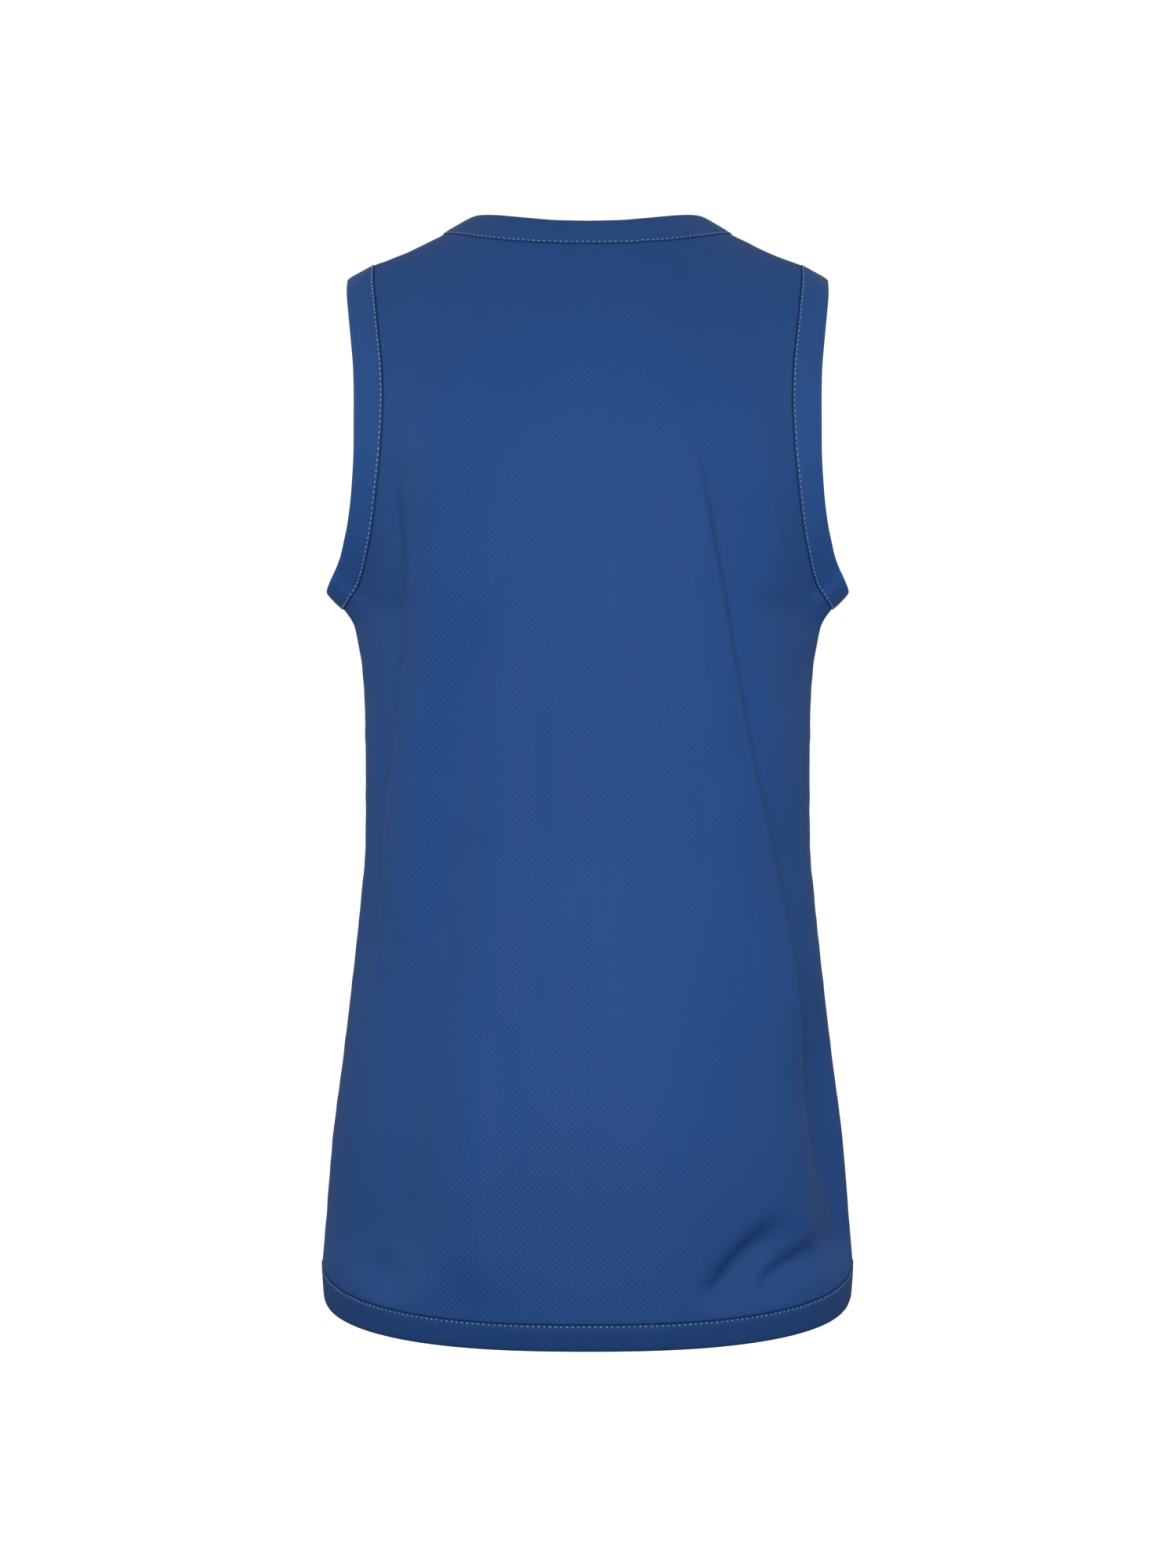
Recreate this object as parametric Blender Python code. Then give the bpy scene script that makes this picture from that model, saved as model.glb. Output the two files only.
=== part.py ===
"""A reversible basketball jersey, sleeveless, filled out as if worn, with no wearer.

The garment is one hollow tube of cloth. A back and a front panel meet at the side
seams and on the shoulders, and a folded band finishes the neck, each armhole and the hem.

Every length below is in millimetres, and MM turns it into metres. X runs to the wearer's
right, Y to the garment's front and Z up. The origin lies midway between the shoulder
seams, at their middle height, where the wearer's shoulders hold the garment up.
"""
import math

import bpy
import numpy as np

MM = 0.001

# Driving sizes.
PANEL_WALL = 2.0        # two layers of mesh cloth, worn as one
BAND_WALL = 2.6         # the folded band is a little thicker
BAND_PROUD = 0.5        # and stands this far out of the panel
EDGE_ROLL = 0.5         # how far each face of a band turns in at its finished edge
SEAM_GAP = 0.3          # free space at each seam
NECK_HALF_WIDTH = 89.0  # from the centre line to the neck seam on the shoulder
SHOULDER_END = 131.0    # from the centre line to the armhole seam on the shoulder
UNDERARM_HEIGHT = -221.0
HEM_SEAM_SIDE = -620.5
HEM_SEAM_CENTRE = {"back": -642.4, "front": -634.0}
HEM_BAND_HEIGHT = 16.0  # at the centre line
HEM_BAND_SIDE = 22.0    # and at the side seam, where the wearer's hip turns it to the front
NECK_COLUMNS = 10       # cloth facets from the centre line to the neck corner
SHOULDER_COLUMNS = 5    # and from there to the armhole seam
SIDE_ROWS = 13          # facets up the side seam
ROW_BUNCHING = 1.6      # above 1 they lie closer together toward the underarm
SPREAD_BEGINS = 90.0    # below the shoulder, where the columns leave the top line's spacing
HEM_BLEND = 160.0       # the rows take up the hem's curve over this height
HEM_SQUARENESS = 1.4    # how far out the hem stays low before it rises to the side
BAND_FACETS = 3         # facets across a neck or armhole band
HEM_FACETS = 2
CREASE_ANGLE = 50.0     # facets that meet at more degrees than this keep a hard edge

CLOTH_BLUE = (0.0222, 0.0704, 0.2232, 1.0)
BAND_BLUE = (0.0284, 0.0865, 0.2540, 1.0)
CLOTH_ROUGHNESS = 0.75
BAND_ROUGHNESS = 0.7

# The worn form, one row for each height: half of the width at the sides and, without the
# flare under the arms, of the middle; how far the back and the front stand out from the
# middle plane; and how round the section is in its middle and at its sides (2 is an ellipse,
# 1 is a pointed lens, as under the arms).
FORM = {
    "height":     (-665, -630, -594, -546, -497, -449, -401, -364, -328, -280, -256, -244, -232,
                   -228, -221, -216, -210, -205, -190, -170, -150, -120, -60, 40),
    "half_width": (165.0, 163.5, 160.8, 156.9, 150.6, 144.9, 139.8, 136.8, 136.6, 137.3, 139.0, 141.0,
                   143.6, 145.4, 150.4, 155.0, 161.0, 162.5, 164.5, 166.0, 167.0, 167.5, 168.0, 168.0),
    "middle_width": (165.0, 163.5, 160.8, 156.9, 150.6, 144.9, 139.8, 137.2, 137.4, 140.4, 142.8, 144.3,
                     145.9, 146.5, 147.6, 148.4, 149.4, 150.3, 152.9, 156.4, 159.7, 163.8, 168.0, 168.0),
    "back":       (122, 121, 119, 115.5, 110, 104, 99, 97, 97, 99.7, 101.4, 102.2, 102.9, 103.1, 103.4,
                   103.6, 103.9, 104.1, 104.5, 104.9, 105, 103.6, 98, 92),
    "front":      (118, 117, 115, 112, 108, 104, 101, 100.4, 102, 106.5, 108.8, 109.7, 110.5, 110.7, 111.0,
                   111.2, 111.4, 111.5, 111.7, 111.3, 109.6, 105, 94, 80),
    "round_middle": (2.0, 2.0, 2.0, 2.0, 2.0, 2.0, 1.99, 1.965, 1.935, 1.895, 1.878, 1.870, 1.864, 1.862,
                     1.858, 1.856, 1.853, 1.851, 1.846, 1.848, 1.865, 1.91, 2.0, 2.0),
    "round_side": (2.0, 2.0, 2.0, 2.0, 2.0, 2.0, 1.95, 1.9, 1.85, 1.65, 1.5, 1.4, 1.25, 1.18, 1.10, 1.08,
                   1.05, 1.06, 1.18, 1.30, 1.45, 1.65, 1.95, 2.0),
}
ROUND_BEGINS = 0.5      # share of the half-width from which the side's roundness takes over
FLARE_BEGINS = 0.85     # and from which its width does
SIDE_ENDS = 0.97        # the share where both are the side's own
SECTION_SQUARENESS = 2.2    # of the section across the width
SHOULDER_DROP = {"back": 175.0, "front": 200.0}   # below this the full depth is reached
SHOULDER_CURVE = 2.2

# The top line of the worn form, seen from the back: height at a distance from the centre.
RIDGE = {
    "across": (0, 30, 50, 63, 70, 89, 99.7, 112, 127, 131, 143, 149, 165),
    "height": (38.0, 35.5, 29.0, 23.6, 20.3, 9.2, 3.9, -1.9, -7.7, -9.0, -14.0, -17.0, -26.0),
}

# The neck seam and the band's finished edge, from the shoulder to the centre line.
NECK_SEAM = {
    "back": {"across": (89, 84, 77, 67, 57, 42, 22, 0),
             "height": (9.2, 7.4, 5.0, 2.0, -0.4, -3.0, -5.0, -5.6)},
    "front": {"across": (89, 86.5, 82, 74, 61, 43, 22, 0),
              "height": (9.2, -6, -22, -42, -61, -75.5, -83, -85)},
}
NECK_EDGE = {
    "back": {"across": (70, 66.5, 61.5, 54, 46, 34, 18, 0),
             "height": (20.3, 19.9, 18.9, 17.2, 15.4, 13.0, 11.1, 10.4)},
    "front": {"across": (70, 67, 63, 57, 47, 33, 17, 0),
              "height": (20.3, 6.5, -7.5, -25, -42, -56, -63.5, -65)},
}

# The armhole seam, from the shoulder down to the underarm, with the band's finished edge
# beside it: each row is one station on the way down.
ARMHOLE = {
    "seam_height": (-9.0, -20, -36, -56, -78, -98, -125, -155, -178, -191, -199, -207, -214, -218, -221),
    "seam_across": (131, 130.4, 128.4, 125.9, 123.3, 122.4, 123.6, 126.9, 130.5, 133.8, 136.2, 139.6, 144.4,
                    147.6, 150.4),
    "edge_across": (148.5, 147.6, 145.8, 143.5, 141.4, 140.6, 140.5, 142.2, 145.3, 148.2, 150.6, 154.0, 157.8,
                    160.0, 161.3),
    "edge_height": (-18.4, -28, -42, -60, -80, -99, -124, -151, -171, -182, -190, -197.5, -204.5, -208.3,
                    -210.0),
    "edge_out":    (0, 18, 30, 40.5, 49.5, 56, 58.5, 53, 43, 35, 28, 20.5, 15.5, 9, 0),
}
FRONT_SCOOP = 9.0       # the front armhole is cut this much further in than the back
SCOOP_FORWARD = 0.4     # share of that scoop by which the edge also stands forward
SCOOP_ROUNDNESS = 1.5

# Facet rows down the armhole: the drop below the shoulder, close together where it arches.
ARMHOLE_DROPS = (0, 1.2, 3.8, 8.5, 16, 27, 42, 61, 84, 110, 138, 163, 184, 198, 206, 212.0)

# The largest folds. Each runs down the rows of its path, from height to height, at a
# distance across from the centre line. "out" is its crest, and a trough is negative.
FOLDS = {
    "back": (
        {"name": "right_drape_crest", "out": 4.5, "reach": 15.0,
         "height": (-70, -180, -236, -291, -347, -407, -459, -520),
         "across": (52, 60, 67, 76, 90, 104, 117, 134)},
        {"name": "right_drape_trough", "out": -7.0, "reach": 9.0,
         "height": (-90, -180, -236, -291, -347, -407, -459, -520),
         "across": (64, 76, 84, 93, 107, 121, 133, 146)},
        {"name": "left_drape_crest", "out": 3.0, "reach": 17.0,
         "height": (-110, -190, -290, -380, -470),
         "across": (-92, -96, -99, -106, -118)},
        {"name": "left_drape_trough", "out": -3.5, "reach": 11.0,
         "height": (-120, -200, -255, -300, -365, -420, -470),
         "across": (-109, -106, -110, -114, -122, -129, -134)},
        {"name": "left_hollow", "out": -3.5, "reach": 20.0,
         "height": (-200, -270, -330, -400, -470, -570),
         "across": (-60, -77, -86, -84, -88, -88)},
        {"name": "hem_pull_outer", "out": -3.0, "reach": 10.0,
         "height": (-628, -617, -606, -594, -582),
         "across": (64, 77, 89, 101, 116)},
        {"name": "hem_pull_inner", "out": -3.0, "reach": 9.0,
         "height": (-622, -612, -603, -600, -598),
         "across": (103, 112, 124, 132, 142)},
    ),
    "front": (
        {"name": "right_front_drape", "out": -4.5, "reach": 12.0,
         "height": (-200, -280, -350, -430, -520),
         "across": (88, 90, 96, 110, 128)},
        {"name": "left_front_drape", "out": -5.0, "reach": 13.0,
         "height": (-190, -270, -350, -430, -500),
         "across": (-82, -88, -98, -110, -124)},
        {"name": "front_hollow", "out": -3.0, "reach": 22.0,
         "height": (-260, -350, -450, -560),
         "across": (26, 34, 36, 30)},
    ),
}
FOLD_EASE = 45.0        # a fold fades in and out over this length
EDGE_EASE = 30.0        # and lies flat this near to a seam
HALF_CLOTH = 150.0      # mean half-width of a panel, which turns a column into a length
ON_LINE = 0.01          # a point this near to a seam line counts as on it


def smooth(rows, values, at):
    """The value at a place between the rows of a table, on a curve with no overshoot."""
    rows = np.asarray(rows, float)
    values = np.asarray(values, float)
    if rows[0] > rows[-1]:
        rows, values = rows[::-1], values[::-1]
    step = np.diff(rows)
    slope = np.diff(values) / step
    tangent = np.empty(len(rows))
    tangent[0], tangent[-1] = slope[0], slope[-1]
    product = slope[:-1] * slope[1:]
    total = slope[:-1] + slope[1:]
    tangent[1:-1] = np.where(product > 0, 2 * product / np.where(total == 0, 1, total), 0)
    at = np.clip(at, rows[0], rows[-1])
    cell = np.clip(np.searchsorted(rows, at, side="right") - 1, 0, len(step) - 1)
    t = (at - rows[cell]) / step[cell]
    width = step[cell]
    return ((1 + 2 * t) * (1 - t) ** 2 * values[cell] + t * (1 - t) ** 2 * width * tangent[cell]
            + t * t * (3 - 2 * t) * values[cell + 1] + t * t * (t - 1) * width * tangent[cell + 1])


def ease(value, low, high):
    """0 below low, 1 above high, and a smooth rise between them."""
    t = np.clip((value - low) / (high - low), 0, 1)
    return t * t * (3 - 2 * t)


def form_column(name, height):
    return smooth(FORM["height"], FORM[name], height)


def ridge_height(across):
    return smooth(RIDGE["across"], RIDGE["height"], abs(across))


def middle_to_side(middle, side, begins, across, height):
    """The value of one column in the middle of the section, passing into another at its side."""
    inner = form_column(middle, height)
    outward = abs(across) / form_column("half_width", height)
    return inner + (form_column(side, height) - inner) * ease(outward, begins, SIDE_ENDS)


def roundness(across, height):
    return middle_to_side("round_middle", "round_side", ROUND_BEGINS, across, height)


def room(side, across, height):
    """How much of the full depth is left at a place: 0 on the outline, 1 in the middle."""
    width = middle_to_side("middle_width", "half_width", FLARE_BEGINS, across, height)
    sideways = 1 - (abs(across) / width) ** SECTION_SQUARENESS
    drop = np.clip((ridge_height(across) - height) / SHOULDER_DROP[side], 0, 1)
    arch = 1 - (1 - drop) ** SHOULDER_CURVE
    return max(float(sideways), 0.0) * float(arch)


def form_depth(side, across, height):
    """How far the worn form stands out from the middle plane."""
    depth = form_column(side, height)
    return float(depth * room(side, across, height) ** (1 / roundness(across, height)))


def form_point(side, across, height):
    sign = -1 if side == "back" else 1
    return np.array((across, sign * form_depth(side, across, height), height))


def form_normal(side, point):
    """The outward direction of the worn form at a point on it."""
    def level(p):
        return (abs(p[1]) / form_column(side, p[2])) ** roundness(p[0], p[2]) - room(side, p[0], p[2])
    nudge = 0.05
    slope = np.array([level(point + nudge * axis) - level(point - nudge * axis) for axis in np.eye(3)])
    return slope / np.linalg.norm(slope)


def fold_height(side, across, height):
    """How far the largest folds lift the cloth at a place, or sink it."""
    total = 0.0
    for fold in FOLDS[side]:
        low, high = min(fold["height"]), max(fold["height"])
        if not low - FOLD_EASE < height < high + FOLD_EASE:
            continue
        centre = smooth(fold["height"], fold["across"], height)
        fade = ease(height, low - FOLD_EASE, low) * (1 - ease(height, high, high + FOLD_EASE))
        total += fold["out"] * fade * math.exp(-((across - centre) / fold["reach"]) ** 2)
    return total


def neck_curve(curve, side, part):
    """A point of the neck seam or edge: part is 0 at the centre line and 1 on the shoulder.

    Points lie closer together toward the shoulder, where the curve turns over it.
    """
    across = np.array(curve[side]["across"], float)[::-1]
    height = np.array(curve[side]["height"], float)[::-1]
    way = np.concatenate(([0], np.cumsum(np.hypot(np.diff(across), np.diff(height)))))
    reach = way[-1] * math.sin(abs(part) * math.pi / 2)
    return smooth(way, across, reach), smooth(way, height, reach)


def top_line(side, column):
    """The panel's top edge at a column from -1 to 1: the neck seam, then the shoulder."""
    corner = NECK_COLUMNS / (NECK_COLUMNS + SHOULDER_COLUMNS)
    reach = abs(column)
    if reach <= corner:
        across, height = neck_curve(NECK_SEAM, side, reach / corner)
    else:
        along = (reach - corner) / (1 - corner)
        across = NECK_HALF_WIDTH + along * (SHOULDER_END - NECK_HALF_WIDTH)
        height = ridge_height(across)
    return math.copysign(float(across), column), float(height)


def hem_turn(column):
    """How far the hem has turned from the centre line to the side seam, 0 to 1."""
    return (1 - math.cos(column * math.pi / 2)) ** HEM_SQUARENESS


def hem_line(side, column):
    """The height of the hem seam at a column from -1 to 1."""
    return HEM_SEAM_CENTRE[side] + (HEM_SEAM_SIDE - HEM_SEAM_CENTRE[side]) * hem_turn(column)


def side_rows():
    """The heights of the cloth's rows at the side: the hem, the underarm and the shoulder."""
    run = UNDERARM_HEIGHT - HEM_SEAM_SIDE
    lower = [HEM_SEAM_SIDE + run * (1 - (1 - i / SIDE_ROWS) ** ROW_BUNCHING) for i in range(SIDE_ROWS)]
    shoulder = ridge_height(SHOULDER_END)
    upper = [float(shoulder) - drop for drop in reversed(ARMHOLE_DROPS)]
    return lower, upper


def side_reach(side, height, shoulder):
    """Half of the panel's width at a row: the side seam, or above it the armhole seam."""
    if height < UNDERARM_HEIGHT:
        return float(form_column("half_width", height))
    across = smooth(ARMHOLE["seam_height"], ARMHOLE["seam_across"], height)
    if side == "front":
        drop = (shoulder - height) / (shoulder - UNDERARM_HEIGHT)
        across -= FRONT_SCOOP * math.sin(math.pi * np.clip(drop, 0, 1)) ** SCOOP_ROUNDNESS
    return float(across)


def panel_grid(side):
    """The outer points of one panel and their outward directions, row by row from the hem."""
    lower, upper = side_rows()
    shoulder = upper[-1]
    count = NECK_COLUMNS + SHOULDER_COLUMNS
    columns = [i / count for i in range(-count, count + 1)]
    sign = -1 if side == "back" else 1
    points, normals = [], []
    for height in lower + upper:
        drop = shoulder - height
        toward_top = max(0.0, 1 - drop / (shoulder - UNDERARM_HEIGHT)) ** 2
        toward_hem = max(0.0, 1 - (height - HEM_SEAM_SIDE) / HEM_BLEND) ** 2
        reach = side_reach(side, height, shoulder)
        spread = 1 - ease(drop, SPREAD_BEGINS, shoulder - UNDERARM_HEIGHT)
        row, row_normals = [], []
        for column in columns:
            top_across, top_height = top_line(side, column)
            share = ((1 - spread) * math.sin(column * math.pi / 2)
                     + spread * top_across / SHOULDER_END)
            across = share * reach
            level = (height + toward_top * (top_height - shoulder)
                     + toward_hem * (hem_line(side, column) - HEM_SEAM_SIDE))
            point = form_point(side, across, level)
            on_middle = (abs(column) == 1 and height <= UNDERARM_HEIGHT) or (
                drop == 0 and abs(across) >= NECK_HALF_WIDTH - ON_LINE)
            if on_middle:
                point[1] = 0.0
            normal = form_normal(side, point)
            if on_middle:
                normal[1] = 0.0
                normal /= np.linalg.norm(normal)
                point[1] = sign * SEAM_GAP / 2
            edge_fade = (ease((1 - abs(column)) * HALF_CLOTH, 0, EDGE_EASE) * ease(drop, 0, EDGE_EASE)
                         * ease(height - HEM_SEAM_SIDE, 0, EDGE_EASE))
            point = point + normal * fold_height(side, across, level) * edge_fade
            row.append(point)
            row_normals.append(normal)
        points.append(row)
        normals.append(row_normals)
    return np.array(points), np.array(normals)


def add_object(name, points, faces, material):
    mesh = bpy.data.meshes.new(name)
    mesh.from_pydata([tuple(float(c) * MM for c in p) for p in points], [], faces)
    mesh.validate()
    mesh.materials.append(material)
    mesh.shade_smooth()
    mesh.set_sharp_from_angle(angle=math.radians(CREASE_ANGLE))
    obj = bpy.data.objects.new(name, mesh)
    bpy.context.scene.collection.objects.link(obj)
    return obj


def wall_layers(rows, columns, ring):
    """The quads of the outer and inner layer of a wall, and the pairs of points on its rims."""
    layer = rows * columns
    last = columns if ring else columns - 1
    quads, rims = [], []
    for c in range(last):
        d = (c + 1) % columns
        for r in range(rows - 1):
            low, high = r * columns, (r + 1) * columns
            quads.append((low + c, low + d, high + d, high + c))
            quads.append((high + c + layer, high + d + layer, low + d + layer, low + c + layer))
        top = (rows - 1) * columns
        rims.append((d, c))
        rims.append((top + c, top + d))
    if not ring:
        for r in range(rows - 1):
            low, high = r * columns, (r + 1) * columns
            rims.append((low, high))
            rims.append((high + last, low + last))
    return quads, rims


def split_quad(points, quad):
    """Two triangles across the shorter diagonal."""
    a, b, c, d = quad
    if np.linalg.norm(points[a] - points[c]) <= np.linalg.norm(points[b] - points[d]):
        return [(a, b, c), (a, c, d)]
    return [(a, b, d), (b, c, d)]


def split_rim(points, rim, layer):
    """Two triangles between the layers, folded from the lower point on both sides of a seam."""
    a, b = rim
    if points[a][2] <= points[b][2]:
        return [(a, b, b + layer), (a, b + layer, a + layer)]
    return [(a, b, a + layer), (b, b + layer, a + layer)]


def face_out(points, triangles):
    """Turns every triangle round if the wall encloses a negative volume."""
    corners = points[np.array(triangles)]
    volume = np.sum(corners[:, 0] * np.cross(corners[:, 1], corners[:, 2]))
    return triangles if volume > 0 else [tuple(reversed(triangle)) for triangle in triangles]


def add_wall(name, outer, inner, ring, material):
    """A closed wall between two grids of points; a ring's last column meets its first."""
    rows, columns = outer.shape[:2]
    points = np.concatenate((outer.reshape(-1, 3), inner.reshape(-1, 3)))
    quads, rims = wall_layers(rows, columns, ring)
    triangles = [triangle for quad in quads for triangle in split_quad(points, quad)]
    triangles += [triangle for rim in rims for triangle in split_rim(points, rim, rows * columns)]
    return add_object(name, points, face_out(points, triangles), material)


def unit(vectors):
    return vectors / np.linalg.norm(vectors, axis=-1, keepdims=True)


def ring_tangents(points):
    return np.roll(points, -1, axis=0) - np.roll(points, 1, axis=0)


def same_way(vectors, guide):
    """The vectors, turned round where they point against their guide."""
    return vectors * np.sign(np.sum(vectors * guide, axis=1))[:, None]


def add_band(name, seam, seam_normals, edge, facets, material):
    """A folded band around an opening, lofted from its seam to its finished edge."""
    off_seam = unit(np.cross(seam_normals, ring_tangents(seam)))
    start = seam + same_way(off_seam, edge - seam) * SEAM_GAP
    flat_normals = same_way(unit(np.cross(ring_tangents(seam + edge), edge - seam)), seam_normals)
    outer, inner = [], []
    for facet in range(facets + 1):
        part = facet / facets
        middle = start + (edge - start) * part
        normals = unit(seam_normals * (1 - part) + flat_normals * part)
        roll = EDGE_ROLL * part ** 3
        outer.append(middle + normals * (BAND_PROUD - roll))
        inner.append(middle + normals * (BAND_PROUD - BAND_WALL + roll))
    return add_wall(name, np.array(outer), np.array(inner), True, material)


def neck_ring(grids):
    """Neck seam, its normals and the band's edge: across the back, then across the front."""
    seam, normals, edge = [], [], []
    for side in ("back", "front"):
        points, directions = grids[side]
        first = SHOULDER_COLUMNS
        steps = list(range(0, 2 * NECK_COLUMNS))
        if side == "front":
            steps = [2 * NECK_COLUMNS - step for step in steps]
        for step in steps:
            part = (step - NECK_COLUMNS) / NECK_COLUMNS
            across, height = neck_curve(NECK_EDGE, side, part)
            point = form_point(side, math.copysign(float(across), part), float(height))
            on_shoulder = abs(part) == 1
            corner = points[-1][first + step].copy()
            if on_shoulder:
                corner[1] = point[1] = 0.0
            seam.append(corner)
            normals.append(directions[-1][first + step])
            edge.append(point)
    return np.array(seam), np.array(normals), np.array(edge)


def armhole_turn(height, shoulder):
    """How far round the armhole a height lies: 0 at the shoulder and pi at the underarm."""
    drop = (shoulder - np.asarray(height, float)) / (shoulder - UNDERARM_HEIGHT)
    return np.arccos(1 - 2 * np.clip(drop, 0, 1))


def armhole_ring(grids, hand):
    """Armhole seam, its normals and the band's edge: down the back and up the front."""
    lower, upper = side_rows()
    stations = armhole_turn(ARMHOLE["seam_height"], upper[-1])
    seam, normals, edge = [], [], []
    column = -1 if hand > 0 else 0
    for side in ("back", "front"):
        points, directions = grids[side]
        rows = list(range(len(upper)))
        rows = rows[::-1][:-1] if side == "back" else rows[:-1]
        sign = -1 if side == "back" else 1
        for r in rows:
            height = upper[r]
            point = points[len(lower) + r][column].copy()
            if r in (0, len(upper) - 1):
                point[1] = 0.0
            turn = armhole_turn(height, upper[-1])
            place = [float(smooth(stations, ARMHOLE[key], turn))
                     for key in ("edge_across", "edge_out", "edge_height")]
            scoop = side_reach("back", height, upper[-1]) - side_reach(side, height, upper[-1])
            seam.append(point)
            normals.append(directions[len(lower) + r][column])
            edge.append((hand * (place[0] - scoop), sign * (place[1] + SCOOP_FORWARD * scoop), place[2]))
    return np.array(seam), np.array(normals), np.array(edge)


def hem_ring(grids):
    """Hem seam, its normals and the bottom edge: across the back, then across the front."""
    seam, normals, edge = [], [], []
    for side in ("back", "front"):
        points, directions = grids[side]
        last = len(points[0]) - 1
        steps = range(last) if side == "back" else range(last, 0, -1)
        for step in steps:
            point = points[0][step].copy()
            column = step * 2 / last - 1
            low = point[2] - HEM_BAND_HEIGHT - (HEM_BAND_SIDE - HEM_BAND_HEIGHT) * hem_turn(column)
            across = math.sin(column * math.pi / 2) * form_column("half_width", low)
            below = form_point(side, across, low)
            if step in (0, last):
                point[1] = below[1] = 0.0
            seam.append(point)
            normals.append(directions[0][step])
            edge.append(below)
    return np.array(seam), np.array(normals), np.array(edge)


def cloth_material(name, colour, roughness):
    material = bpy.data.materials.new(name)
    material.use_nodes = True
    shader = material.node_tree.nodes["Principled BSDF"]
    shader.inputs["Base Color"].default_value = colour
    shader.inputs["Roughness"].default_value = roughness
    shader.inputs["Metallic"].default_value = 0.0
    return material


def build_panel(side, grid):
    points, normals = grid
    return add_wall(side + "_panel", points, points - normals * PANEL_WALL, False,
                    cloth_material(side + "_panel_cloth", CLOTH_BLUE, CLOTH_ROUGHNESS))


def build_neck_band(grids):
    seam, normals, edge = neck_ring(grids)
    return add_band("neck_band", seam, normals, edge, BAND_FACETS,
                    cloth_material("neck_band_knit", BAND_BLUE, BAND_ROUGHNESS))


def build_armhole_band(grids, hand):
    name = "armhole_band_right" if hand > 0 else "armhole_band_left"
    seam, normals, edge = armhole_ring(grids, hand)
    return add_band(name, seam, normals, edge, BAND_FACETS,
                    cloth_material(name + "_knit", BAND_BLUE, BAND_ROUGHNESS))


def build_hem_band(grids):
    seam, normals, edge = hem_ring(grids)
    return add_band("hem_band", seam, normals, edge, HEM_FACETS,
                    cloth_material("hem_band_cloth", CLOTH_BLUE, CLOTH_ROUGHNESS))


def main():
    for obj in list(bpy.data.objects):
        bpy.data.objects.remove(obj, do_unlink=True)
    grids = {side: panel_grid(side) for side in ("back", "front")}
    for side in ("back", "front"):
        build_panel(side, grids[side])
    build_neck_band(grids)
    for hand in (-1, 1):
        build_armhole_band(grids, hand)
    build_hem_band(grids)


main()
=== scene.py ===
# %% [markdown]
# # A reversible basketball jersey, seen from the back
#
# The jersey is a tube of mesh cloth, filled out as if someone wore it, with folded bands round
# the neck, the armholes and the hem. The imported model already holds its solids, and they are the
# fixed frame of this scene. Every visible piece below is a finer version of one of them, made of
# thin cloth, with the creases, the stitches and the knit that the plain solids leave out.

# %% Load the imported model
import math

import bpy
import numpy as np
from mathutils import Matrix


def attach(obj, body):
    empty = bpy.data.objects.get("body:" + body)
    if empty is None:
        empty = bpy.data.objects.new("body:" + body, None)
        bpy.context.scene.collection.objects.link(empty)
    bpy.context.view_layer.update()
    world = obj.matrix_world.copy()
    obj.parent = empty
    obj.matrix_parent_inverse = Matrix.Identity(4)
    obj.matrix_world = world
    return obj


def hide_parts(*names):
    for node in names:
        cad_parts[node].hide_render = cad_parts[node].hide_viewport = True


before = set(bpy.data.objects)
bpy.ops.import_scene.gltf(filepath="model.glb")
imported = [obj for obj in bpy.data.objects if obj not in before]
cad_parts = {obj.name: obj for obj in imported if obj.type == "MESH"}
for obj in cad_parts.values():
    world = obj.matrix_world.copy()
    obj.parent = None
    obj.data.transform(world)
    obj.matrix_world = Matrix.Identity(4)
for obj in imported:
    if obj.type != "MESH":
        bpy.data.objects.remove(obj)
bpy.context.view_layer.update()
MM = 0.001
print("solids:", ", ".join(sorted(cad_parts)))

# %% [markdown]
# ## The worn form
#
# Cloth that is worn lies on a rounded form. A small table gives that form: at each height it says
# how wide the jersey is, how far the back and the front stand out, and how round the section is.
# A reader new to Blender could sculpt this instead, but a table keeps real sizes and can be
# mended one number at a time. All lengths are in millimetres; X runs to the wearer's right,
# Y out of the front and Z up, and the origin lies between the shoulder seams.

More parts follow.
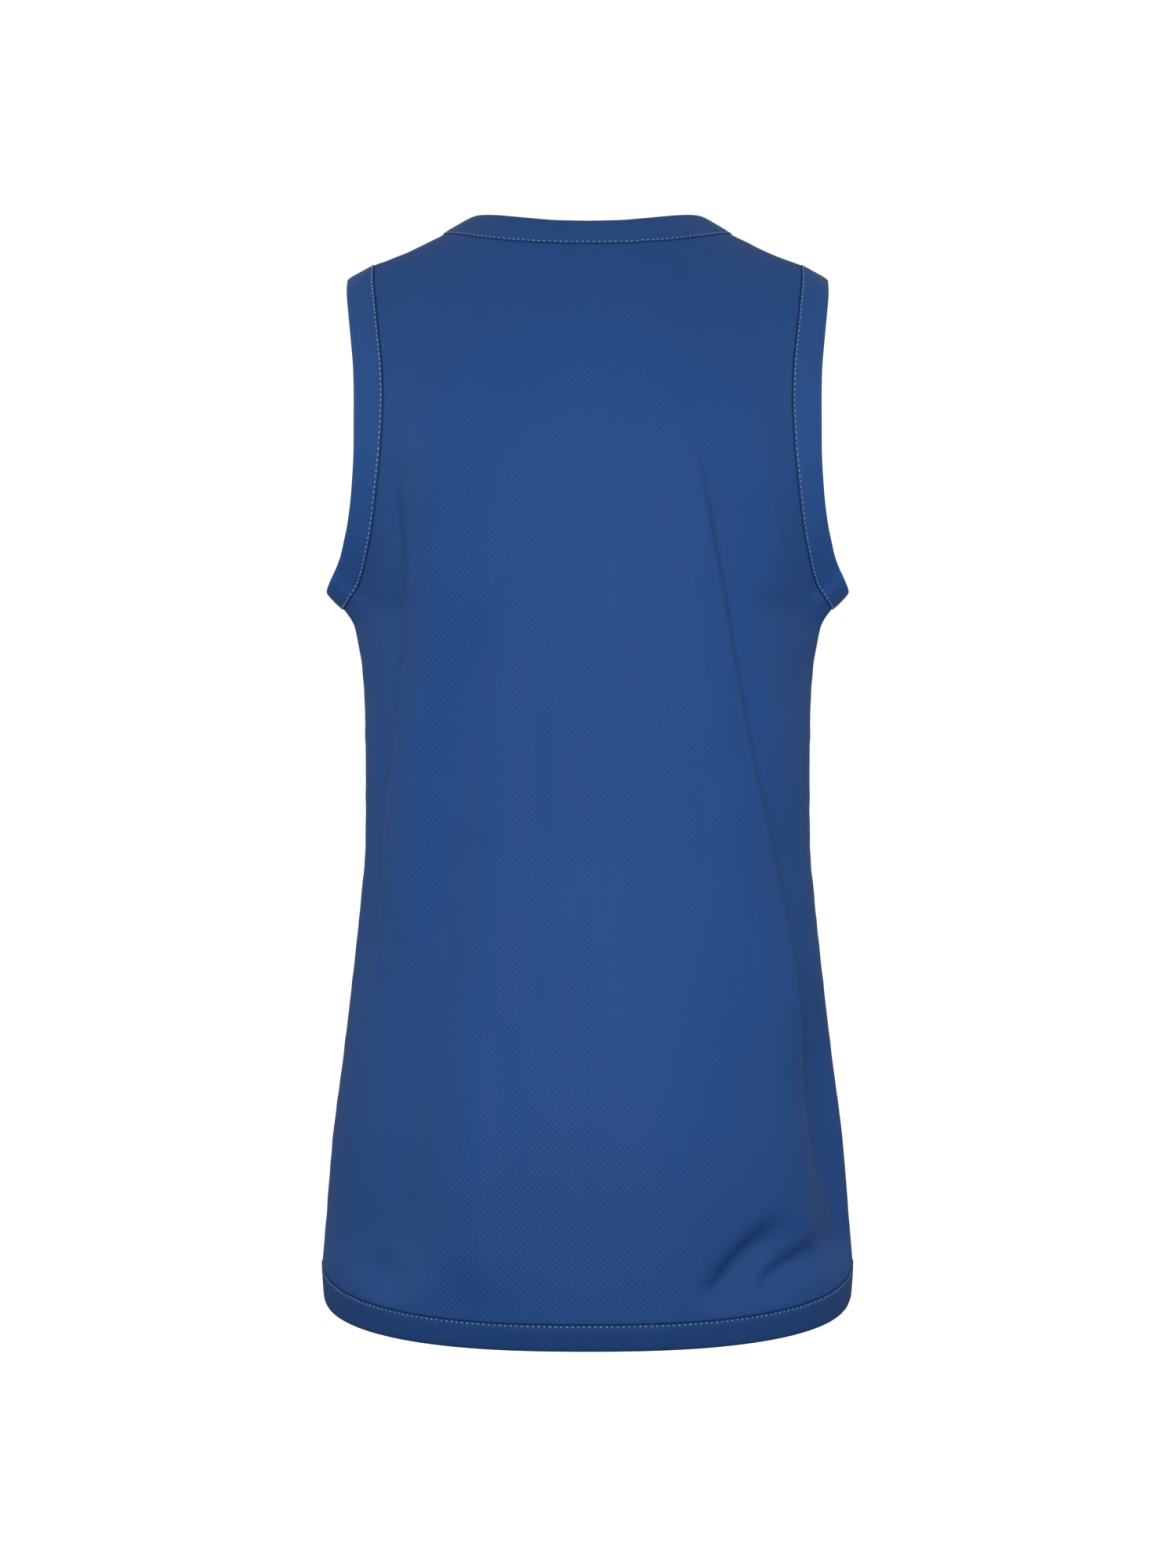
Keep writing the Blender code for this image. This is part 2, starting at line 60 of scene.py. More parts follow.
# %% The tables of the form
FORM = {
    "height":     (-665, -630, -594, -546, -497, -449, -401, -364, -328, -280, -256, -244, -232,
                   -228, -221, -216, -210, -205, -190, -170, -150, -120, -60, 40),
    "half_width": (165.0, 163.5, 160.8, 156.9, 150.6, 144.9, 139.8, 136.8, 136.6, 137.3, 139.0, 141.0,
                   143.6, 145.4, 150.4, 155.0, 161.0, 162.5, 164.5, 166.0, 167.0, 167.5, 168.0, 168.0),
    "middle_width": (165.0, 163.5, 160.8, 156.9, 150.6, 144.9, 139.8, 137.2, 137.4, 140.4, 142.8, 144.3,
                     145.9, 146.5, 147.6, 148.4, 149.4, 150.3, 152.9, 156.4, 159.7, 163.8, 168.0, 168.0),
    "back":       (122, 121, 119, 115.5, 110, 104, 99, 97, 97, 99.7, 101.4, 102.2, 102.9, 103.1, 103.4,
                   103.6, 103.9, 104.1, 104.5, 104.9, 105, 103.6, 98, 92),
    "front":      (118, 117, 115, 112, 108, 104, 101, 100.4, 102, 106.5, 108.8, 109.7, 110.5, 110.7, 111.0,
                   111.2, 111.4, 111.5, 111.7, 111.3, 109.6, 105, 94, 80),
    "round_middle": (2.0, 2.0, 2.0, 2.0, 2.0, 2.0, 1.99, 1.965, 1.935, 1.895, 1.878, 1.870, 1.864, 1.862,
                     1.858, 1.856, 1.853, 1.851, 1.846, 1.848, 1.865, 1.91, 2.0, 2.0),
    "round_side": (2.0, 2.0, 2.0, 2.0, 2.0, 2.0, 1.95, 1.9, 1.85, 1.65, 1.5, 1.4, 1.25, 1.18, 1.10, 1.08,
                   1.05, 1.06, 1.18, 1.30, 1.45, 1.65, 1.95, 2.0),
}
ROUND_BEGINS = 0.5      # share of the half-width from which the side's roundness takes over
FLARE_BEGINS = 0.85     # and from which its width does
SIDE_ENDS = 0.97
SECTION_SQUARENESS = 2.2
SHOULDER_DROP = {"back": 175.0, "front": 200.0}
SHOULDER_CURVE = 2.2
RIDGE = {
    "across": (0, 30, 50, 63, 70, 89, 99.7, 112, 127, 131, 143, 149, 165),
    "height": (38.0, 35.5, 29.0, 23.6, 20.3, 9.2, 3.9, -1.9, -7.7, -9.0, -14.0, -17.0, -26.0),
}
FACING = {"back": -1, "front": 1}    # which way each panel faces along Y
print(f"form from {FORM['height'][0]} to {FORM['height'][-1]} mm in {len(FORM['height'])} rows")


# %% Reading a table, and the form it gives
def smooth(rows, values, at):
    """The value at a place between the rows of a table, on a curve with no overshoot."""
    rows = np.asarray(rows, float)
    values = np.asarray(values, float)
    if rows[0] > rows[-1]:
        rows, values = rows[::-1], values[::-1]
    step = np.diff(rows)
    slope = np.diff(values) / step
    tangent = np.empty(len(rows))
    tangent[0], tangent[-1] = slope[0], slope[-1]
    product = slope[:-1] * slope[1:]
    total = slope[:-1] + slope[1:]
    tangent[1:-1] = np.where(product > 0, 2 * product / np.where(total == 0, 1, total), 0)
    at = np.clip(at, rows[0], rows[-1])
    cell = np.clip(np.searchsorted(rows, at, side="right") - 1, 0, len(step) - 1)
    t = (at - rows[cell]) / step[cell]
    width = step[cell]
    return ((1 + 2 * t) * (1 - t) ** 2 * values[cell] + t * (1 - t) ** 2 * width * tangent[cell]
            + t * t * (3 - 2 * t) * values[cell + 1] + t * t * (t - 1) * width * tangent[cell + 1])


def ease(value, low, high):
    """0 below low, 1 above high, and a smooth rise between them."""
    t = np.clip((value - low) / (high - low), 0, 1)
    return t * t * (3 - 2 * t)


def form_column(name, height):
    return smooth(FORM["height"], FORM[name], height)


def ridge_height(across):
    return smooth(RIDGE["across"], RIDGE["height"], np.abs(across))


def middle_to_side(middle, side, begins, across, height):
    """The value of one column in the middle of the section, passing into another at its side."""
    inner = form_column(middle, height)
    outward = np.abs(across) / form_column("half_width", height)
    return inner + (form_column(side, height) - inner) * ease(outward, begins, SIDE_ENDS)


def roundness(across, height):
    return middle_to_side("round_middle", "round_side", ROUND_BEGINS, across, height)


def room(side, across, height):
    """How much of the full depth is left at a place: 0 on the outline, 1 in the middle."""
    width = middle_to_side("middle_width", "half_width", FLARE_BEGINS, across, height)
    sideways = 1 - (np.abs(across) / width) ** SECTION_SQUARENESS
    drop = np.clip((ridge_height(across) - height) / SHOULDER_DROP[side], 0, 1)
    return np.maximum(sideways, 0) * (1 - (1 - drop) ** SHOULDER_CURVE)


def form_points(side, across, height):
    depth = form_column(side, height) * room(side, across, height) ** (1 / roundness(across, height))
    return np.stack((across, FACING[side] * depth, height), axis=-1)


def unit(vectors):
    return vectors / np.maximum(np.linalg.norm(vectors, axis=-1, keepdims=True), 1e-9)


NUDGE = 0.05


def form_normals(side, points):
    """The outward direction of the form at points on it, from how its level changes nearby."""
    def level(p):
        share = np.abs(p[..., 1]) / form_column(side, p[..., 2])
        return share ** roundness(p[..., 0], p[..., 2]) - room(side, p[..., 0], p[..., 2])
    slope = [level(points + NUDGE * axis) - level(points - NUDGE * axis) for axis in np.eye(3)]
    return unit(np.stack(slope, axis=-1))


chest = form_points("back", np.array([0.0, 60.0, 120.0]), np.array([-200.0] * 3))
print("depth of the back at 0, 60 and 120 mm out:", np.round(-chest[:, 1]).astype(int))

# %% [markdown]
# ## The cut of the two panels
#
# A jersey like this is cut as a back and a front, sewn together at the shoulders and the sides.
# Its openings are curves, so they are kept as short tables of points: the seam where a band is
# sewn on, and the band's finished edge beside it. The back's are read from the picture as far as
# it shows them, and the front's are guessed.

# %% The tables of the cut
NECK_HALF_WIDTH = 89.0
SHOULDER_END = 131.0
UNDERARM_HEIGHT = -221.0
HEM_SEAM_SIDE = -620.5
HEM_SEAM_CENTRE = {"back": -642.4, "front": -634.0}
HEM_BAND_HEIGHT = 16.0
HEM_BAND_SIDE = 22.0
HEM_BLEND = 160.0
HEM_SQUARENESS = 1.4
SPREAD_BEGINS = 90.0
NECK_SHARE = 2 / 3      # of the columns, from the centre line to the neck corner
NECK_SEAM = {
    "back": {"across": (89, 84, 77, 67, 57, 42, 22, 0),
             "height": (9.2, 7.4, 5.0, 2.0, -0.4, -3.0, -5.0, -5.6)},
    "front": {"across": (89, 86.5, 82, 74, 61, 43, 22, 0),
              "height": (9.2, -6, -22, -42, -61, -75.5, -83, -85)},
}
NECK_EDGE = {
    "back": {"across": (70, 66.5, 61.5, 54, 46, 34, 18, 0),
             "height": (20.3, 19.9, 18.9, 17.2, 15.4, 13.0, 11.1, 10.4)},
    "front": {"across": (70, 67, 63, 57, 47, 33, 17, 0),
              "height": (20.3, 6.5, -7.5, -25, -42, -56, -63.5, -65)},
}
ARMHOLE = {
    "seam_height": (-9.0, -20, -36, -56, -78, -98, -125, -155, -178, -191, -199, -207, -214, -218, -221),
    "seam_across": (131, 130.4, 128.4, 125.9, 123.3, 122.4, 123.6, 126.9, 130.5, 133.8, 136.2, 139.6, 144.4,
                    147.6, 150.4),
    "edge_across": (148.5, 147.6, 145.8, 143.5, 141.4, 140.6, 140.5, 142.2, 145.3, 148.2, 150.6, 154.0, 157.8,
                    160.0, 161.3),
    "edge_height": (-18.4, -28, -42, -60, -80, -99, -124, -151, -171, -182, -190, -197.5, -204.5, -208.3,
                    -210.0),
    "edge_out":    (0, 18, 30, 40.5, 49.5, 56, 58.5, 53, 43, 35, 28, 20.5, 15.5, 9, 0),
}
FRONT_SCOOP = 9.0       # the front armhole is cut this much further in than the back
SCOOP_FORWARD = 0.4
SCOOP_ROUNDNESS = 1.5
print(f"armhole {ARMHOLE['seam_height'][0] - UNDERARM_HEIGHT:.0f} mm deep, "
      f"neck {2 * NECK_HALF_WIDTH:.0f} mm wide at its seam")


# %% The outline of a panel, row by row and column by column
SHOULDER_HEIGHT = float(ridge_height(SHOULDER_END))


def neck_curve(curve, side, part):
    """Across and height on the neck seam or edge: part is 0 at the centre and 1 on the shoulder."""
    across = np.array(curve[side]["across"], float)[::-1]
    height = np.array(curve[side]["height"], float)[::-1]
    way = np.concatenate(([0], np.cumsum(np.hypot(np.diff(across), np.diff(height)))))
    reach = way[-1] * np.sin(np.abs(part) * math.pi / 2)
    return np.sign(part) * smooth(way, across, reach), smooth(way, height, reach)


def top_line(side, column):
    """The panel's top edge at each column: the neck seam, then the shoulder seam."""
    reach = np.abs(column)
    neck_across, neck_height = neck_curve(NECK_SEAM, side, np.clip(reach / NECK_SHARE, 0, 1))
    along = np.clip((reach - NECK_SHARE) / (1 - NECK_SHARE), 0, 1)
    out = NECK_HALF_WIDTH + along * (SHOULDER_END - NECK_HALF_WIDTH)
    on_neck = reach <= NECK_SHARE
    across = np.where(on_neck, neck_across, out)
    return np.sign(column) * across, np.where(on_neck, neck_height, ridge_height(out))


def hem_turn(column):
    """How far the hem has turned from the centre line to the side seam, 0 to 1."""
    return (1 - np.cos(column * math.pi / 2)) ** HEM_SQUARENESS


def hem_line(side, column):
    return HEM_SEAM_CENTRE[side] + (HEM_SEAM_SIDE - HEM_SEAM_CENTRE[side]) * hem_turn(column)


def side_reach(side, height):
    """Half of the panel's width at a row: the side seam, or above it the armhole seam."""
    armhole = smooth(ARMHOLE["seam_height"], ARMHOLE["seam_across"], height)
    if side == "front":
        drop = (SHOULDER_HEIGHT - height) / (SHOULDER_HEIGHT - UNDERARM_HEIGHT)
        armhole = armhole - FRONT_SCOOP * np.sin(math.pi * np.clip(drop, 0, 1)) ** SCOOP_ROUNDNESS
    return np.where(height < UNDERARM_HEIGHT, form_column("half_width", height), armhole)


print(f"shoulder seam ends {SHOULDER_END:.0f} mm out at {SHOULDER_HEIGHT:.1f} mm")

# %% [markdown]
# ## A fine grid of points over each panel
#
# The solids have a facet every 20 mm or so. Soft folds need one every 2 to 3 mm, so the same
# cut is sampled again on a fine grid. Rows and columns crowd together at the seams, because
# the cloth rolls under there, and round the underarm and over the shoulder, where it turns.

# %% Rows and columns of the fine grid
COLUMNS_PER_HALF = 78
LOWER_ROWS = 138
ARMHOLE_ROWS = 112
ROW_BUNCHING = 1.3
SEAM_STEPS = (0.0, 0.4, 0.9, 1.7)    # extra lines beside each seam, in mm
HALF_CLOTH = 150.0                   # mean half-width, which turns a column into a length
COLUMN_CLEAR = 0.004                 # share of a half-width kept free beside those extra lines
ROW_CLEAR = 3.5                      # and in mm over the hem seam


def column_places():
    even = np.arange(COLUMNS_PER_HALF + 1) / COLUMNS_PER_HALF
    beside = 1 - np.array(SEAM_STEPS) / HALF_CLOTH
    half = np.unique(np.concatenate((even[even < beside[-1] - COLUMN_CLEAR], beside)))
    return np.concatenate((-half[:0:-1], half))


def row_heights():
    run = UNDERARM_HEIGHT - HEM_SEAM_SIDE
    even = np.arange(LOWER_ROWS) / LOWER_ROWS
    lower = HEM_SEAM_SIDE + run * (1 - (1 - even) ** ROW_BUNCHING)
    beside_hem = HEM_SEAM_SIDE + np.array(SEAM_STEPS)
    lower = np.unique(np.concatenate((lower[lower > HEM_SEAM_SIDE + ROW_CLEAR], beside_hem)))
    turn = math.pi * np.arange(ARMHOLE_ROWS, -1, -1) / ARMHOLE_ROWS
    drop = (SHOULDER_HEIGHT - UNDERARM_HEIGHT) * (1 - np.cos(turn)) / 2
    return np.concatenate((lower, SHOULDER_HEIGHT - drop)), len(lower)


COLUMNS = column_places()
ROWS, UNDERARM_ROW = row_heights()
print(f"{len(ROWS)} rows by {len(COLUMNS)} columns on each panel")


# %% The cloth without its folds
VISIBLE_GAP = 0.02      # the sewn seams are drawn almost shut


def bare_panel(side):
    """The points of a panel on the bare form, and their outward directions."""
    column = COLUMNS[None, :]
    height = ROWS[:, None]
    drop = SHOULDER_HEIGHT - height
    depth_of_armhole = SHOULDER_HEIGHT - UNDERARM_HEIGHT
    top_across, top_height = top_line(side, column)
    spread = 1 - ease(drop, SPREAD_BEGINS, depth_of_armhole)
    share = (1 - spread) * np.sin(column * math.pi / 2) + spread * top_across / SHOULDER_END
    across = share * side_reach(side, height)
    toward_top = np.maximum(0, 1 - drop / depth_of_armhole) ** 2
    toward_hem = np.maximum(0, 1 - (height - HEM_SEAM_SIDE) / HEM_BLEND) ** 2
    level = (height + toward_top * (top_height - SHOULDER_HEIGHT)
             + toward_hem * (hem_line(side, column) - HEM_SEAM_SIDE))
    points = form_points(side, across, level)
    on_side = (np.abs(column) > 0.9999) & (height <= UNDERARM_HEIGHT)
    on_shoulder = (drop < 1e-6) & (np.abs(across) > NECK_HALF_WIDTH - 0.01)
    sewn = on_side | on_shoulder
    points[sewn, 1] = 0
    normals = form_normals(side, points)
    normals[sewn, 1] = 0
    points[sewn, 1] = FACING[side] * VISIBLE_GAP / 2
    return points, unit(normals)


bare = {side: bare_panel(side) for side in FACING}
print("back spans", np.round(np.ptp(bare["back"][0].reshape(-1, 3), axis=0)), "mm")


# %% How far each point lies along the cloth, and from each seam
def cloth_lengths(points):
    """Real distance on the cloth: from the centre line across, and from the hem up."""
    across = np.linalg.norm(np.diff(points, axis=1), axis=2)
    across = np.concatenate((np.zeros((len(points), 1)), np.cumsum(across, axis=1)), axis=1)
    across -= across[:, [len(COLUMNS) // 2]]
    up = np.linalg.norm(np.diff(points, axis=0), axis=2)
    up = np.concatenate((np.zeros((1, points.shape[1])), np.cumsum(up, axis=0)))
    return across, up


def seam_distances(across, up):
    side = np.minimum(across[:, [-1]] - across, across - across[:, [0]])
    return {"side": side, "hem": up, "top": up[[-1]] - up}


def level_rows(side):
    """Knit rows lie level, so each point takes the length up the centre line at its height."""
    centre = len(COLUMNS) // 2
    points = bare[side][0]
    return np.interp(points[..., 2], points[:, centre, 2], lengths[side][1][:, centre])


lengths = {side: cloth_lengths(bare[side][0]) for side in FACING}
distances = {side: seam_distances(*lengths[side]) for side in FACING}
knit_rows = {side: level_rows(side) for side in FACING}
for side in FACING:
    half_hem = lengths[side][0][0, -1] - lengths[side][0][0, 0]
    half_chest = lengths[side][0][UNDERARM_ROW, -1] - lengths[side][0][UNDERARM_ROW, 0]
    print(f"{side}: {half_hem:.0f} mm of cloth at the hem seam, {half_chest:.0f} mm at the underarm, "
          f"{lengths[side][1][-1, len(COLUMNS) // 2]:.0f} mm up the centre")

# %% [markdown]
# ## Creases laid in one by one
#
# The cloth is light and hangs nearly smooth: a long drape runs from the right shoulder blade
# down to the right side, a softer one mirrors it on the left, and two short pulls lean out of
# the hem. Broad hollows lie low on both sides, and the cloth dips over the hem at the left. No
# cloth simulation is run: each crease is laid in one by one, in its own size. It is a path over the
# cloth with a height and a reach on each side, and it fades at both ends. A negative height
# sinks the cloth, which makes a trough.

# %% The creases, each with its own sizes in mm
# path: (across, height) points, with across to the wearer's right; out: crest height; reach:
# width to the left and the right of the path as its points go, seen from the back; fade: length
# over which it starts and ends.
CREASES = {
    "back": (
        {"name": "right drape crest", "out": 4.2, "reach": (17, 13), "fade": (60, 70),
         "path": ((49, -60), (54, -120), (60, -180), (67, -236), (76, -291), (90, -347), (104, -407),
                  (117, -459), (134, -525))},
        {"name": "right drape trough", "out": -5.6, "reach": (10, 4.5), "fade": (100, 60),
         "path": ((62, -95), (69, -142), (76.5, -180), (84.5, -217), (91, -255), (99, -297), (107, -338),
                  (115.5, -379), (124, -421), (132, -462), (141, -504), (150, -550), (156, -600))},
        {"name": "right drape edge", "out": 2.2, "reach": (3, 6), "fade": (60, 60),
         "path": ((60, -112), (65, -142), (72.5, -180), (80, -217), (86.5, -255), (94.5, -297),
                  (102.5, -338), (111, -379), (119, -421), (127, -462), (136, -504), (146, -550))},
        {"name": "shoulder blade crest", "out": 2.4, "reach": (7, 6.5), "fade": (35, 40),
         "path": ((97, -85), (100, -110), (105, -151), (113, -195), (118, -225))},
        {"name": "shoulder blade trough", "out": -1.8, "reach": (8, 8), "fade": (30, 35),
         "path": ((96, -180), (103, -215), (112, -245), (122, -280), (127, -310))},
        {"name": "left drape crest", "out": 2.6, "reach": (13, 10), "fade": (50, 60),
         "path": ((-97, -100), (-98, -150), (-100, -207), (-103, -290), (-110, -380), (-120, -470))},
        {"name": "left drape trough", "out": -3.2, "reach": (4, 8), "fade": (50, 60),
         "path": ((-118, -120), (-115, -160), (-112, -195), (-114.5, -235), (-117, -275), (-121.5, -315),
                  (-126.5, -360), (-131, -405), (-138, -470))},
        {"name": "left drape edge", "out": 1.4, "reach": (6, 3), "fade": (35, 50),
         "path": ((-114, -298), (-121, -345), (-123, -366), (-128, -420), (-134, -475))},
        {"name": "left hollow", "out": -4.4, "reach": (13, 15), "fade": (60, 90),
         "path": ((-60, -205), (-68, -245), (-75, -285), (-81, -337), (-86, -392), (-92, -456))},
        {"name": "left lower hollow", "out": -8.5, "reach": (22, 34), "fade": (110, 50),
         "path": ((-96, -350), (-103, -430), (-110, -510), (-115, -580), (-118, -640))},
        {"name": "left plane edge", "out": 3.2, "reach": (11, 15), "fade": (70, 40),
         "path": ((-63, -370), (-65, -450), (-66, -520), (-66, -600), (-67, -640))},
        {"name": "middle left crest", "out": 2.2, "reach": (9, 9), "fade": (55, 60),
         "path": ((-50, -215), (-52, -300), (-53, -380), (-53, -490))},
        {"name": "middle left trough", "out": -1.5, "reach": (7, 7), "fade": (60, 60),
         "path": ((-36, -205), (-33, -260), (-30, -320), (-29, -390))},
        {"name": "centre crest", "out": 0.9, "reach": (8, 8), "fade": (50, 60),
         "path": ((-18, -250), (-17, -320), (-17, -420), (-16, -500))},
        {"name": "centre trough", "out": -0.9, "reach": (5, 5), "fade": (45, 50),
         "path": ((-5, -405), (-4, -480), (-4, -600))},
        {"name": "right lower hollow", "out": -10.5, "reach": (22, 12), "fade": (90, 40),
         "path": ((128, -430), (138, -490), (146, -540), (150, -590), (150, -640))},
        {"name": "outer hem pull", "out": -11.0, "reach": (7, 15), "fade": (20, 34),
         "path": ((66, -636), (74, -627), (81, -620), (87, -612), (93, -606), (99, -601), (106, -596),
                  (112, -591), (119, -587), (126, -583))},
        {"name": "hem pull crest", "out": 0.8, "reach": (6, 6), "fade": (14, 26),
         "path": ((86, -634), (92, -626), (100, -617), (110, -608), (122, -599))},
        {"name": "inner hem pull", "out": -8.5, "reach": (5, 12), "fade": (14, 24),
         "path": ((98, -631), (104, -625), (111, -619), (117, -614), (123, -611), (130, -607),
                  (138, -603), (147, -600))},
        {"name": "side nick", "out": -1.3, "reach": (2.2, 2.2), "fade": (8, 8),
         "path": ((154, -600), (156, -610), (157, -620))},
        {"name": "left hem dip", "out": -5.0, "reach": (12, 9), "fade": (24, 24),
         "path": ((-144, -610), (-131, -619), (-117, -626), (-98, -631))},
        {"name": "nape dip", "out": -1.2, "reach": (16, 16), "fade": (40, 40),
         "path": ((-38, -22), (0, -26), (38, -22))},
    ),
    "front": (
        {"name": "left breast drape", "out": 3.4, "reach": (15, 14), "fade": (50, 70),
         "path": ((-62, -205), (-68, -270), (-78, -350), (-92, -430), (-108, -520))},
        {"name": "left breast hollow", "out": -6.5, "reach": (10, 13), "fade": (50, 70),
         "path": ((-82, -190), (-88, -270), (-98, -350), (-110, -430), (-124, -500))},
        {"name": "right breast drape", "out": 2.4, "reach": (15, 15), "fade": (50, 70),
         "path": ((68, -215), (72, -290), (78, -370), (90, -460), (104, -550))},
        {"name": "right breast hollow", "out": -6.0, "reach": (12, 10), "fade": (50, 70),
         "path": ((88, -200), (90, -280), (96, -350), (110, -430), (128, -520))},
        {"name": "middle hollow", "out": -4.4, "reach": (20, 22), "fade": (60, 60),
         "path": ((24, -260), (32, -350), (35, -450), (30, -560))},
        {"name": "middle crest", "out": 2.4, "reach": (9, 9), "fade": (50, 60),
         "path": ((-14, -300), (-12, -380), (-10, -480), (-12, -560))},
        {"name": "neck pull left", "out": -1.2, "reach": (8, 8), "fade": (20, 40),
         "path": ((-58, -92), (-70, -118), (-84, -150), (-92, -180))},
        {"name": "neck pull right", "out": -1.0, "reach": (8, 8), "fade": (20, 40),
         "path": ((62, -88), (74, -116), (86, -150))},
        {"name": "front hem pull", "out": -5.0, "reach": (7, 8), "fade": (12, 34),
         "path": ((-70, -632), (-80, -618), (-92, -604), (-106, -592), (-118, -578))},
        {"name": "front hem crest", "out": 1.8, "reach": (7, 7), "fade": (14, 26),
         "path": ((-84, -630), (-96, -616), (-110, -604), (-122, -594))},
    ),
}
print(", ".join(f"{len(CREASES[side])} creases on the {side}" for side in CREASES))


# %% From a path to a lift of the cloth
PATH_STEP = 3.0


def even_path(path):
    """A path resampled on a smooth curve, with the distance along it."""
    path = np.array(path, float)
    way = np.concatenate(([0], np.cumsum(np.linalg.norm(np.diff(path, axis=0), axis=1))))
    along = np.linspace(0, way[-1], max(3, int(way[-1] / PATH_STEP)))
    return np.stack((smooth(way, path[:, 0], along), smooth(way, path[:, 1], along)), axis=1), along


def crease_lift(crease, across, height):
    path, along = even_path(crease["path"])
    widest = 3 * max(crease["reach"])
    low, high = path.min(axis=0) - widest, path.max(axis=0) + widest
    near = (across > low[0]) & (across < high[0]) & (height > low[1]) & (height < high[1])
    place = np.stack((across[near], height[near]), axis=1)
    away = place[:, None, :] - path[None, :, :]
    nearest = np.argmin(np.sum(away ** 2, axis=2), axis=1)
    away = away[np.arange(len(place)), nearest]
    heading = np.gradient(path, axis=0)[nearest]
    on_left = heading[:, 0] * away[:, 1] - heading[:, 1] * away[:, 0] > 0
    reach = np.where(on_left, *crease["reach"])
    begins, ends = crease["fade"]
    fade = ease(along[nearest], 0, begins) * (1 - ease(along[nearest], along[-1] - ends, along[-1]))
    lift = np.zeros_like(across)
    lift[near] = crease["out"] * fade * np.exp(-np.sum(away ** 2, axis=1) / reach ** 2)
    return lift


# Broad, shallow unevenness that no worn cloth is without: wavelengths across and up in mm, a
# phase, and a height in mm.
SWELLS = ((170, 260, 0.4, 0.55), (96, 310, 2.1, 0.40), (61, 290, 4.0, 0.22), (44, 120, 1.2, 0.12),
          (25, 420, 0.7, 0.11), (14.5, 360, 3.1, 0.05))
SWELL_TURN = {"back": 0.0, "front": 2.5}    # so that the two panels don't swell alike
FLAT_REACH = 26.0       # a fold flattens this near to a seam
HEM_SHARE = 0.25        # of a fold's height that is left at the hem seam


def swell(across, height, turn):
    total = np.zeros_like(across)
    for wide, tall, phase, out in SWELLS:
        total += out * np.sin(2 * math.pi * across / wide + phase + turn) * np.sin(
            2 * math.pi * height / tall + 1.7 * phase)
    return total


def folds(side, points, seam):
    across, height = points[..., 0], points[..., 2]
    lift = sum(crease_lift(crease, across, height) for crease in CREASES[side])
    lift = lift + swell(across, height, SWELL_TURN[side])
    sewn_side = ease(seam["side"], 0, FLAT_REACH)
    sewn_shoulder = ease(seam["top"], 0, FLAT_REACH)
    sewn_hem = HEM_SHARE + (1 - HEM_SHARE) * ease(seam["hem"], 0, FLAT_REACH)
    return lift * sewn_side * sewn_shoulder * sewn_hem


fold_lift = {side: folds(side, bare[side][0], distances[side]) for side in FACING}
for side in FACING:
    print(f"{side} folds sink {-fold_lift[side].min():.1f} mm and rise {fold_lift[side].max():.1f} mm")

# %% [markdown]
# ## Puckers beside the seams
#
# A seam draws the cloth together a little, so it never lies quite flat beside the thread. Small
# waves along each seam, a few tenths of a millimetre high, show that. They die out within 15 mm.
# At the very edge the cloth turns under, which leaves the fine groove that makes a seam visible.

# %% Puckers and turned edges
PUCKERS = ((19.0, 0.3, 0.5), (12.5, 1.9, 0.3), (31.0, 4.4, 0.4))     # wavelength, phase, share
PUCKER_HEIGHT = 0.34
PUCKER_REACH = 7.0
PUCKER_TURN = {"back": 0.0, "front": 1.3}
TOP_TURN, TOP_SHARE = 2.2, 0.6       # phase and share of the puckers at the neck and shoulder
SIDE_TURN, SIDE_SHARE = 0.9, 0.8     # and at the side
SIDE_SHUT = 2.5         # the side's puckers fade away this near to its own seam
CORNER_EASE = 12.0      # and the hem's and the top's this near to the side
ROLL_DEPTH = 0.35
ROLL_REACH = 0.55


def pucker(along, turn):
    return sum(share * np.sin(2 * math.pi * along / wave + phase + turn) for wave, phase, share in PUCKERS)


def seam_relief(side):
    """The puckers beside a panel's four seams, the same along all the cloth near a seam."""
    across, up = lengths[side]
    seam = distances[side]
    turn = PUCKER_TURN[side]
    near = {key: np.exp(-(seam[key] / PUCKER_REACH) ** 2) for key in seam}
    hem = pucker(across[[0]], turn) * near["hem"]
    top = pucker(across[[-1]], turn + TOP_TURN) * near["top"] * TOP_SHARE
    side_shut = 1 - np.exp(-(seam["side"] / SIDE_SHUT) ** 2)
    beside = pucker(up[:, [0]], turn + SIDE_TURN) * near["side"] * side_shut * SIDE_SHARE
    return (hem + top) * ease(seam["side"], 0, CORNER_EASE) + beside


def rolled_edge(side):
    nearest = np.minimum.reduce([distances[side][key] for key in ("side", "hem", "top")])
    return -ROLL_DEPTH * np.exp(-(nearest / ROLL_REACH) ** 2), nearest


panels = {}
for side in FACING:
    points, normals = bare[side]
    lift = fold_lift[side] + PUCKER_HEIGHT * seam_relief(side)
    roll, nearest = rolled_edge(side)
    panels[side] = {
        "flat_edge": points + normals * lift[..., None],
        "outer": points + normals * (lift + roll)[..., None],
        "normals": normals,
        "nearest": nearest,
    }
print("puckers up to", PUCKER_HEIGHT, "mm, edges turned under by", ROLL_DEPTH, "mm")

# %% [markdown]
# ## The look of the cloth
#
# The knit is a closed mesh with a fine chequer of small dimples, every other row offset by half.
# It is far too fine to model, so one shader node group draws it from the cloth's own lengths,
# which are kept as the piece's UV map in millimetres. Each cloth material places that group with
# its own values, and the Principled shader stays in the material itself.

